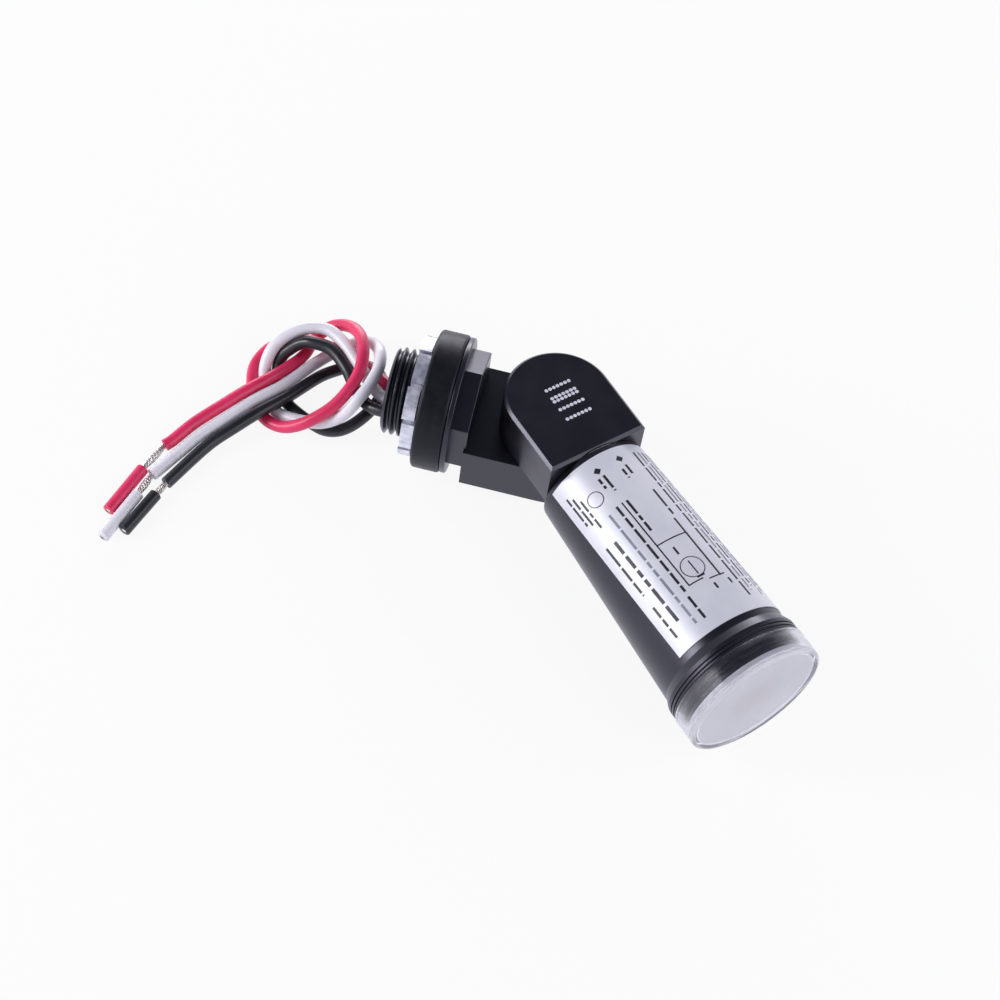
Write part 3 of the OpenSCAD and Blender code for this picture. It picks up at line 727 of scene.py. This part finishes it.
bpy.ops.object.mode_set(mode="EDIT")
bpy.ops.mesh.select_mode(type="FACE")
select_faces(locknut, is_lug_rim)
bpy.ops.mesh.extrude_region_shrink_fatten(TRANSFORM_OT_shrink_fatten={"value": (nut_r - nut_ring_r) * mm})
close_shape()
for vertex in locknut.data.vertices:
    from_axis = math.hypot(vertex.co.y, vertex.co.z)
    if from_axis > (nut_ring_r + nut_r) / 2 * mm and lug_place(vertex.co)[0] % 2:
        vertex.co.x -= lug_set * mm
combine(locknut, round_bar("nut_bore", nut_x0 - 2 * cut_past, nut_x1 + cut_past, nut_bore_r), "DIFFERENCE")
soften(locknut, nut_edge)
give_finish(locknut, zinc_plate)
settle(locknut)
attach(locknut, "locknut")
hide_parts("locknut")


# Swivel parts inside the lap: a brass eyelet flared over at both ends, a spring washer that gives the
# swivel its friction and a rubber ring that keeps water out. The leads go through the eyelet.
def refinish(node, finish):
    """Gives a frame node that keeps its shape a finish of its own."""
    give_finish(frame["nodes"][node], finish)


drawn_brass = moulded(
    "drawn_brass", ((0.5, 0.34, 0.12), (0.66, 0.48, 0.2)), (0.25, 0.4), grain=0.2, mottle=2, bump=0.005,
    metallic=1,
)
spring_steel = moulded(
    "spring_steel", ((0.3, 0.31, 0.33), (0.46, 0.47, 0.49)), (0.3, 0.5), grain=0.2, mottle=2, bump=0.005,
    metallic=1,
)
inner_vinyl = moulded("inner_vinyl", ((0.2, 0.2, 0.21), (0.3, 0.3, 0.31)), (0.35, 0.5))
refinish("pivot_eyelet", drawn_brass)
refinish("spring_washer", spring_steel)
refinish("swivel_seal", black_rubber)
refinish("stem_leads", inner_vinyl)
refinish("head_leads", inner_vinyl)


# Head: one hollow moulding of the same black plastic as the stem. The upper half of the swivel runs out
# into a barrel that widens to a flared and grooved rim, with a thin spigot for the lens cap.
lens_low, lens_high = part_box("lens")
head_axis = (lens_low + lens_high) / 2 - pivot
head_place = Matrix.Translation(pivot) @ Matrix.Rotation(math.atan2(head_axis.y, head_axis.x), 4, "Z")
block_reach = 16.5
barrel_end = 71.2
barrel_r0 = 13.2
barrel_r1 = 15.9
barrel_edge = 0.3
flare_fillet = 1.5
head_wall = 2
hollow_fillet = 1
rim_x = 73.4
rim_end = 76.2
rim_r = 16.8
rim_edge = 0.25
rim_groove = 0.35
rim_groove_edge = 0.08
spigot_r = 15
spigot_root = 0.15
spigot_edge = 0.3
spigot_inner_edge = 0.2
spigot_end = 80.1
lens_groove_x = 77.43
lens_groove_w = 1.54
lens_groove_r = 13.9
head_hole_r = 4.46
half_into_barrel = 0.05
way_step = 0.15
board_x = 23
board_len = 44
board_w = 17.75
board_under = 5.85
rail_t = 1.3


def barrel_r(x):
    """Barrel radius at a distance along the head from the swivel axis."""
    return barrel_r0 + (barrel_r1 - barrel_r0) * (x - block_reach) / (barrel_end - block_reach)


def box_bar(name, low_corner, high_corner):
    """A plain block between two corners, as a tool for joining or cutting."""
    low_corner, high_corner = Vector(low_corner) * mm, Vector(high_corner) * mm
    bpy.ops.object.select_all(action="DESELECT")
    bpy.ops.mesh.primitive_cube_add(size=1, location=(low_corner + high_corner) / 2)
    block = bpy.context.object
    block.name = name
    block.scale = high_corner - low_corner
    fix_place()
    return block


rim_corners = []
for i in (1, 2):
    groove_x = rim_x + i * (rim_end - rim_x) / 3
    rim_corners += [
        (groove_x, rim_r, rim_groove_edge),
        (groove_x, rim_r - rim_groove),
        (groove_x + rim_groove, rim_r - rim_groove),
        (groove_x + rim_groove, rim_r, rim_groove_edge),
    ]
hollow_x = block_reach + head_wall
head = turned("head", [
    (block_reach, 0), (block_reach, barrel_r0, barrel_edge), (barrel_end, barrel_r1, flare_fillet),
    (rim_x, rim_r, barrel_edge), *rim_corners, (rim_end, rim_r, rim_edge), (rim_end, spigot_r, spigot_root),
    (lens_groove_x, spigot_r), (lens_groove_x, lens_groove_r),
    (lens_groove_x + lens_groove_w, lens_groove_r), (lens_groove_x + lens_groove_w, spigot_r),
    (spigot_end, spigot_r, spigot_edge), (spigot_end, spigot_r - head_wall, spigot_inner_edge),
    (barrel_end, spigot_r - head_wall), (barrel_end, barrel_r1 - head_wall),
    (hollow_x, barrel_r0 - head_wall, hollow_fillet), (hollow_x, 0),
])
combine(head, knuckle_half("head_half", block_reach + half_into_barrel), "UNION")
pocket_low = lap + knuckle_floor
pocket_high = knuckle_h - head_wall
combine(head, pivot_hole("head_pocket", pocket_low, pocket_high, knuckle_r - head_wall), "DIFFERENCE")
lead_way = round_bar("lead_way", 0, hollow_x + cut_past, barrel_r0 - head_wall - way_step)
bpy.ops.object.mode_set(mode="EDIT")
for height, side in ((pocket_low + way_step, -1), (pocket_high - way_step, 1)):
    bpy.ops.mesh.select_all(action="SELECT")
    bpy.ops.mesh.bisect(
        plane_co=(0, 0, height * mm), plane_no=(0, 0, side), use_fill=True, clear_outer=True,
        threshold=cut_snap,
    )
close_shape()
combine(head, lead_way, "DIFFERENCE")
combine(head, pivot_hole("head_hole", -cut_past, knuckle_h / 2, head_hole_r), "DIFFERENCE")
rails = box_bar(
    "rails", (board_x, -barrel_r1, -board_under - rail_t), (board_x + board_len, barrel_r1, -board_under)
)
rail_gap = box_bar(
    "rail_gap", (0, rail_t - board_w / 2, -barrel_r1), (barrel_end, board_w / 2 - rail_t, 0)
)
combine(rails, rail_gap, "DIFFERENCE")
rail_room = turned("rail_room", [
    (block_reach, 0), (block_reach, barrel_r0 - head_wall / 2),
    (barrel_end, barrel_r1 - head_wall / 2), (barrel_end, 0),
])
combine(head, combine(rails, rail_room, "INTERSECT"), "UNION")
give_finish(head, black_plastic)
settle(head, head_place)
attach(head, "head")
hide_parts("head_shell")


# Label: an oblong sheet of silver-white film stuck round the barrel. Its long edges keep their distance
# from its middle line, so on the taper the bare gap beside it widens towards the lens.
label_margin = 1.6
label_x = block_reach + label_margin
label_len = 51.4
label_w = 40
label_cells = (48, 96)
label_t = 0.2
label_lift = 0.05
label_turn = math.radians(18)


def wrap_on_barrel(piece, lift):
    """Wraps a flat piece round the barrel: X runs along the head, and Y is an arc from the middle line."""
    for vertex in piece.data.vertices:
        along, across, up = vertex.co / mm
        radius = barrel_r(label_x + along)
        angle = label_turn + across / radius
        radius += lift + up
        vertex.co = Vector((label_x + along, radius * math.sin(angle), radius * math.cos(angle))) * mm


def flat_sheet(name, low_corner, high_corner, cells):
    """A flat sheet between two corners (along, across) of the label's own plane, split into cells to bend."""
    low_corner, high_corner = Vector(low_corner) * mm, Vector(high_corner) * mm
    bpy.ops.object.select_all(action="DESELECT")
    bpy.ops.mesh.primitive_grid_add(x_subdivisions=cells[0], y_subdivisions=cells[1], size=1)
    sheet = bpy.context.object
    sheet.name = name
    sheet.scale = (*(high_corner - low_corner), 1)
    sheet.location = (*((low_corner + high_corner) / 2), 0)
    fix_place()
    return sheet


def thicken(piece, thickness):
    """Gives a sheet a thickness in millimetres, outwards from its own surface."""
    wall = piece.modifiers.new("Thicken", "SOLIDIFY")
    wall.thickness = thickness * mm
    wall.offset = 1
    apply_modifier(piece, wall)


label_film = moulded(
    "label_film", ((0.7, 0.71, 0.75), (0.76, 0.77, 0.8)), (0.38, 0.46), grain=0.15, mottle=8, bump=0.002,
    metallic=0.12,
)
label = flat_sheet("label_sheet", (0, -label_w / 2), (label_len, label_w / 2), label_cells)
wrap_on_barrel(label, label_lift)
thicken(label, label_t)
give_finish(label, label_film)
settle(label, head_place)
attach(label, "head")
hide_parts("label")


# Label print: black and grey ink, printed on the film before it is cut. It has rows of short plain bars,
# two diamonds, a ring and a plain sketch of a circuit, each a very thin layer on the label.
ink_t = 0.03
line_w = 0.32
thick_line_w = 0.5
ring_w = 0.22
bar_share = 0.55
cell_share = 0.27
bar_cells = (5, 20)
space_cells = 2
bend_cell = 1
diamond_r = 0.95
diamond_cells = (4, 4)
ring_steps = 40
row_h = 1.1
close_row_start = 2.6
close_row_end = 47.6
close_row_short = 1.3
close_row_first = 2.8
close_row_pitch = 1.6
close_row_count = 10
print_draw = random.Random(5)
black_ink = moulded(
    "black_ink", ((0.008, 0.008, 0.012), (0.02, 0.02, 0.026)), (0.4, 0.55), grain=0.1, mottle=3, bump=0.002
)
grey_ink = moulded(
    "grey_ink", ((0.2, 0.21, 0.25), (0.3, 0.31, 0.36)), (0.4, 0.55), grain=0.1, mottle=3, bump=0.002
)


def print_row(start, end, across, height=row_h):
    """A printed row: a strip of fine cells, cut into plain bars with spaces between them."""
    columns = round((end - start) / (cell_share * height))
    half = bar_share * height / 2
    row = flat_sheet("print_row", (start, across - half), (end, across + half), (columns, 1))
    spaces = set()
    column = print_draw.randint(*bar_cells)
    while column < columns:
        spaces.update(range(column, column + space_cells))
        column += space_cells + print_draw.randint(*bar_cells)

    def is_blank(middle, normal):
        return int((middle.x / mm - start) / (end - start) * columns) in spaces

    bpy.ops.object.mode_set(mode="EDIT")
    bpy.ops.mesh.select_mode(type="FACE")
    select_faces(row, is_blank)
    bpy.ops.mesh.delete(type="FACE")
    bpy.ops.object.mode_set(mode="OBJECT")
    return row


def close_rows(first):
    """Every other close row along the label's far side, from the first one on. Their ends vary."""
    return [
        print_row(
            close_row_start, close_row_end - close_row_short * (i % 3), close_row_first + close_row_pitch * i
        )
        for i in range(first, close_row_count, 2)
    ]


def print_line(start, end, width):
    """A straight printed line along or across the label."""
    (x0, y0), (x1, y1) = sorted((start, end))
    y0, y1 = min(y0, y1) - width / 2, max(y0, y1) + width / 2
    x0, x1 = x0 - width / 2, x1 + width / 2
    cells = (math.ceil((x1 - x0) / bend_cell), math.ceil((y1 - y0) / bend_cell))
    return flat_sheet("print_line", (x0, y0), (x1, y1), cells)


def print_diamond(place):
    """A small solid diamond."""
    half = diamond_r / math.sqrt(2)
    diamond = flat_sheet("print_diamond", (-half, -half), (half, half), diamond_cells)
    centre = Vector((*place, 0)) * mm
    return put(diamond, Matrix.Translation(centre) @ Matrix.Rotation(math.radians(45), 4, "Z"))


def print_ring(place, radius):
    """A thin printed ring."""
    bpy.ops.object.select_all(action="DESELECT")
    bpy.ops.mesh.primitive_circle_add(
        vertices=ring_steps, radius=radius * mm, fill_type="NGON", location=(place[0] * mm, place[1] * mm, 0)
    )
    ring = bpy.context.object
    fix_place()
    bpy.ops.object.mode_set(mode="EDIT")
    bpy.ops.mesh.select_mode(type="FACE")
    bpy.ops.mesh.select_all(action="SELECT")
    bpy.ops.mesh.inset(thickness=ring_w * mm)
    bpy.ops.mesh.delete(type="FACE")
    bpy.ops.object.mode_set(mode="OBJECT")
    return ring


def lay_print(name, shapes, ink):
    """Joins printed shapes into one layer of ink and wraps it on the label."""
    pick(shapes[0])
    for shape in shapes:
        shape.select_set(True)
    bpy.ops.object.join()
    layer = shapes[0]
    layer.name = name
    wrap_on_barrel(layer, label_lift + label_t - ink_t / 3)
    thicken(layer, ink_t)
    give_finish(layer, ink)
    settle(layer, head_place)
    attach(layer, "head")


lay_print("label_dark_print", [
    print_diamond((3.7, -8.1)), print_diamond((3.4, -2)), print_ring((9.2, -12.4), 2),
    print_row(5.4, 10.2, -7.6), print_row(5.6, 8.6, -9), print_row(5.4, 8.2, -1.7), print_row(6.2, 9, -3.1),
    print_row(4, 12.6, -17.7, 1), print_row(5.2, 14, -16.5, 1), print_row(7, 15.4, -15.3, 1),
    print_row(20, 34.8, -17.5, 1.15), print_row(38.4, 48.2, -17.5, 1.15), print_row(20.3, 44.8, -15, 1.5),
    print_row(13.8, 40.3, -9.8), print_row(41.7, 48.1, -10), print_row(13.8, 23.4, -7.1),
    print_row(14, 21.8, 0),
    print_line((13.8, -8.3), (39.6, -8.3), line_w), print_line((27.4, -8.3), (27.4, -0.6), line_w),
    print_line((23.2, -0.6), (40.4, -0.6), thick_line_w), print_line((39.6, -8.3), (39.6, -4.8), line_w),
    print_line((40.4, -3.4), (40.4, 0.5), line_w), print_ring((36, -4.9), 2.8),
    print_line((34.4, -4.9), (38, -4.9), line_w), print_line((38.8, -5.4), (38.8, -4), thick_line_w),
    print_row(29.6, 31.8, -5.6, 0.9), print_row(41.8, 43.4, -3.3, 1), print_row(41.8, 43.4, 0.7, 1),
    *close_rows(0),
], black_ink)
lay_print("label_grey_print", [print_row(14.4, 47.9, -12.2), *close_rows(1)], grey_ink)


# Face mark: four bars of small round dots in white ink, sprayed by a jet printer on the flat of the upper
# swivel half. The dots stand just proud of the plastic.
mark_x = -2.6
mark_pitch = 3
mark_y = 1.1
mark_columns = (1, 2, 1, 1)
dot_pitch = 1.02
dot_r = 0.45
dot_count = 7
dot_steps = 12
white_ink = moulded(
    "white_ink", ((0.62, 0.64, 0.7), (0.78, 0.8, 0.85)), (0.45, 0.6), grain=0.1, mottle=1, bump=0.003
)
dots = []
for bar, columns in enumerate(mark_columns):
    for column in range(columns):
        for row in range(dot_count):
            bpy.ops.object.select_all(action="DESELECT")
            dot_x = mark_x + mark_pitch * bar + dot_pitch * (column - (columns - 1) / 2)
            dot_y = mark_y + dot_pitch * (row - (dot_count - 1) / 2)
            bpy.ops.mesh.primitive_circle_add(
                vertices=dot_steps, radius=dot_r * mm, fill_type="NGON",
                location=(dot_x * mm, dot_y * mm, knuckle_h * mm),
            )
            dots.append(bpy.context.object)
pick(dots[0])
for dot in dots:
    dot.select_set(True)
bpy.ops.object.join()
face_mark = dots[0]
face_mark.name = "face_mark"
fix_place()
thicken(face_mark, ink_t)
give_finish(face_mark, white_ink)
settle(face_mark, head_place)
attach(face_mark, "head")


# Board and its parts inside the barrel: a relay, the parts of its supply and the parts that sense dusk.
# They are soldered to a fibreglass board that slides in on two ledges.
black_epoxy = moulded(
    "black_epoxy", ((0.012, 0.012, 0.012), (0.025, 0.025, 0.025)), (0.4, 0.55), grain=0.15, mottle=1
)
refinish("transistor", black_epoxy)
refinish("rectifier_diodes", black_epoxy)
for node, finish, tones, roughness, grain, mottle in (
    ("circuit_board", "board_green", ((0.03, 0.12, 0.05), (0.06, 0.2, 0.09)), (0.35, 0.5), 0.3, 3),
    ("relay", "relay_case", ((0.03, 0.09, 0.26), (0.05, 0.13, 0.34)), (0.35, 0.5), 0.3, 4),
    ("surge_varistor", "varistor_coat", ((0.03, 0.08, 0.3), (0.05, 0.12, 0.4)), (0.2, 0.3), 0.5, 3),
    ("film_capacitor", "film_case", ((0.55, 0.4, 0.05), (0.68, 0.52, 0.1)), (0.35, 0.5), 0.3, 4),
    ("filter_capacitor", "can_sleeve", ((0.03, 0.035, 0.05), (0.05, 0.055, 0.07)), (0.2, 0.3), 0.3, 3),
    ("resistors", "resistor_coat", ((0.5, 0.38, 0.24), (0.64, 0.52, 0.36)), (0.35, 0.5), 0.2, 1.5),
):
    refinish(node, moulded(finish, tones, roughness, grain, mottle))


# Sensor plate: a white plastic disc clipped on the spigot behind the lens, with a round window that holds
# the light-sensitive cell. It hides the board and throws light on to the cell.
plate_t = 1.2
plate_r = 15.3
plate_back_edge = 0.2
plate_front_edge = 0.4
skirt_r = 12.8
skirt_t = 1.6
skirt_len = 2
skirt_x = spigot_end - skirt_len
skirt_edge = 0.3
window_r = 5.7
window_chamfer = 0.5
window_edge = 0.2
plate_front = spigot_end + plate_t
white_plastic = moulded(
    "white_plastic", ((0.76, 0.76, 0.79), (0.84, 0.84, 0.87)), (0.4, 0.55), grain=0.3, mottle=5
)
plate = turned("sensor_plate_disc", [
    (skirt_x, skirt_r - skirt_t), (skirt_x, skirt_r, skirt_edge), (spigot_end, skirt_r),
    (spigot_end, plate_r, plate_back_edge), (plate_front, plate_r, plate_front_edge),
    (plate_front, window_r + window_chamfer, window_edge), (plate_front - window_chamfer, window_r),
    (spigot_end, window_r), (spigot_end, skirt_r - skirt_t), (skirt_x, skirt_r - skirt_t),
])
give_finish(plate, white_plastic)
settle(plate, head_place)
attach(plate, "head")
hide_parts("sensor_plate")
cell_ceramic = moulded(
    "cell_ceramic", ((0.66, 0.58, 0.5), (0.78, 0.71, 0.63)), (0.4, 0.55), grain=0.2, mottle=1.5
)
refinish("photocell", cell_ceramic)


# Lens seal and lens: a rubber ring in the spigot's groove, and a clear acrylic cap pushed over it until it
# butts on the rim. The cap's front is flat and its front edge is rounded.
lens_gap = 0.1
lens_start = rim_end + lens_gap
lens_end = 83.2
lens_r = 17
lens_bore_r = 15.5
lens_front = 1.6
lens_inside = lens_end - lens_front
lens_edge = 0.9
lens_back_edge = 0.2
lens_inner_edge = 0.3
acrylic_tone = (0.97, 0.97, 0.99)
acrylic_ior = 1.49
haze_size = 3


def acrylic(name, roughness, clearness):
    """Acrylic, clear or milky: a refracting solid whose gloss varies a little from place to place."""
    made = bpy.data.materials.new(name)
    made.use_nodes = True
    tree = made.node_tree
    shader = tree.nodes["Principled BSDF"]
    shader.inputs["Base Color"].default_value = (*acrylic_tone, 1)
    shader.inputs["IOR"].default_value = acrylic_ior
    shader.inputs["Transmission Weight"].default_value = clearness
    place = tree.nodes.new("ShaderNodeTexCoord")
    haze = tree.nodes.new("ShaderNodeTexNoise")
    haze.inputs["Scale"].default_value = 1 / (haze_size * mm)
    gloss = tree.nodes.new("ShaderNodeMapRange")
    gloss.inputs["To Min"].default_value = roughness[0]
    gloss.inputs["To Max"].default_value = roughness[1]
    tree.links.new(place.outputs["Object"], haze.inputs["Vector"])
    tree.links.new(haze.outputs["Fac"], gloss.inputs["Value"])
    tree.links.new(gloss.outputs["Result"], shader.inputs["Roughness"])
    return made


def is_milky(middle, normal):
    """The lens's inner front and its rounded front edge, which are left as moulded and scatter the light."""
    if abs(middle.x - lens_inside * mm) < touch * mm:
        return True
    return middle.x > (lens_end - lens_edge) * mm and math.hypot(middle.y, middle.z) > lens_bore_r * mm


refinish("lens_seal", black_rubber)
lens = turned("lens_cap", [
    (lens_start, lens_bore_r), (lens_start, lens_r, lens_back_edge), (lens_end, lens_r, lens_edge),
    (lens_end, 0), (lens_inside, 0), (lens_inside, lens_bore_r, lens_inner_edge), (lens_start, lens_bore_r),
])
lens.data.materials.append(acrylic("clear_acrylic", (0.12, 0.2), 1))
lens.data.materials.append(acrylic("milky_acrylic", (0.3, 0.36), 0.65))
pick(lens)
bpy.ops.object.mode_set(mode="EDIT")
bpy.ops.mesh.select_mode(type="FACE")
select_faces(lens, is_milky)
lens.active_material_index = 1
bpy.ops.object.material_slot_assign()
bpy.ops.object.mode_set(mode="OBJECT")
settle(lens, head_place)
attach(lens, "head")
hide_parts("lens")


# Stage: a wide white floor that keeps a faint shadow, a pale studio round it that is darker overhead, and
# soft lamps: a small one and a wide weak one on the left, a wide one on the right and a low one behind.
floor_z = cad_low.z
floor_size = 20
paper_tone = (0.9, 0.9, 0.9)
paper_roughness = 0.9
glow_share = 0.9
glow_reflected = (1.08, 1.07, 1.2)
glow_seen = (1, 1, 1)
sky_stops = ((0.1, (0.93, 0.92, 1)), (0.6, (0.16, 0.165, 0.225)))
lamp_tone = (0.96, 0.95, 1)
bpy.ops.object.select_all(action="DESELECT")
bpy.ops.mesh.primitive_plane_add(size=floor_size, location=(0, 0, floor_z))
floor = bpy.context.object
floor.name = "floor"


def white_floor():
    """White paper that the camera sees as nearly pure white, with part of the shadows kept."""
    made = bpy.data.materials.new("white_floor")
    made.use_nodes = True
    tree = made.node_tree
    paper = tree.nodes["Principled BSDF"]
    paper.inputs["Base Color"].default_value = (*paper_tone, 1)
    paper.inputs["Roughness"].default_value = paper_roughness
    paper.inputs["Specular IOR Level"].default_value = 0
    glow = tree.nodes.new("ShaderNodeEmission")
    path = tree.nodes.new("ShaderNodeLightPath")
    glow_tone = tree.nodes.new("ShaderNodeMix")
    glow_tone.data_type = "RGBA"
    glow_tone.inputs["A"].default_value = (*glow_reflected, 1)
    glow_tone.inputs["B"].default_value = (*glow_seen, 1)
    tree.links.new(path.outputs["Is Camera Ray"], glow_tone.inputs["Factor"])
    tree.links.new(glow_tone.outputs["Result"], glow.inputs["Color"])
    seen = tree.nodes.new("ShaderNodeMath")
    seen.operation = "ADD"
    seen_through = tree.nodes.new("ShaderNodeMath")
    seen_through.operation = "ADD"
    share = tree.nodes.new("ShaderNodeMath")
    share.operation = "MULTIPLY"
    share.inputs[1].default_value = glow_share
    mix = tree.nodes.new("ShaderNodeMixShader")
    tree.links.new(path.outputs["Is Camera Ray"], seen.inputs[0])
    tree.links.new(path.outputs["Is Glossy Ray"], seen.inputs[1])
    tree.links.new(seen.outputs["Value"], seen_through.inputs[0])
    tree.links.new(path.outputs["Is Transmission Ray"], seen_through.inputs[1])
    seen_through.use_clamp = True
    tree.links.new(seen_through.outputs["Value"], share.inputs[0])
    tree.links.new(share.outputs["Value"], mix.inputs["Fac"])
    tree.links.new(paper.outputs["BSDF"], mix.inputs[1])
    tree.links.new(glow.outputs["Emission"], mix.inputs[2])
    tree.links.new(mix.outputs["Shader"], tree.nodes["Material Output"].inputs["Surface"])
    return made


floor.data.materials.append(white_floor())
world = bpy.data.worlds.new("studio")
bpy.context.scene.world = world
world.use_nodes = True
sky = world.node_tree
sky_place = sky.nodes.new("ShaderNodeTexCoord")
sky_height = sky.nodes.new("ShaderNodeSeparateXYZ")
sky_tone = sky.nodes.new("ShaderNodeValToRGB")
for stop, (position, colour) in zip(sky_tone.color_ramp.elements, sky_stops):
    stop.position = position
    stop.color = (*colour, 1)
sky.links.new(sky_place.outputs["Generated"], sky_height.inputs["Vector"])
sky.links.new(sky_height.outputs["Z"], sky_tone.inputs["Fac"])
sky.links.new(sky_tone.outputs["Color"], sky.nodes["Background"].inputs["Color"])
for name, place, size, watts in (
    ("left_softbox", (-0.85, -0.25, 0.42), (0.26, 0.55), 4.8),
    ("left_fill", (-0.95, -0.5, 0.4), (1.3, 0.9), 2.4),
    ("right_softbox", (0.85, -0.2, 0.6), (1.2, 0.9), 5.2),
    ("back_softbox", (-0.2, 0.75, 0.1), (0.7, 0.3), 3.6),
):
    bpy.ops.object.light_add(type="AREA", location=place)
    lamp = bpy.context.object
    lamp.name = name
    lamp.data.shape = "ELLIPSE"
    lamp.data.size, lamp.data.size_y = size
    lamp.data.energy = watts
    lamp.data.color = lamp_tone
    lamp.rotation_euler = (view_target - Vector(place)).to_track_quat("-Z", "Y").to_euler()
bpy.context.scene.view_settings.view_transform = "Standard"
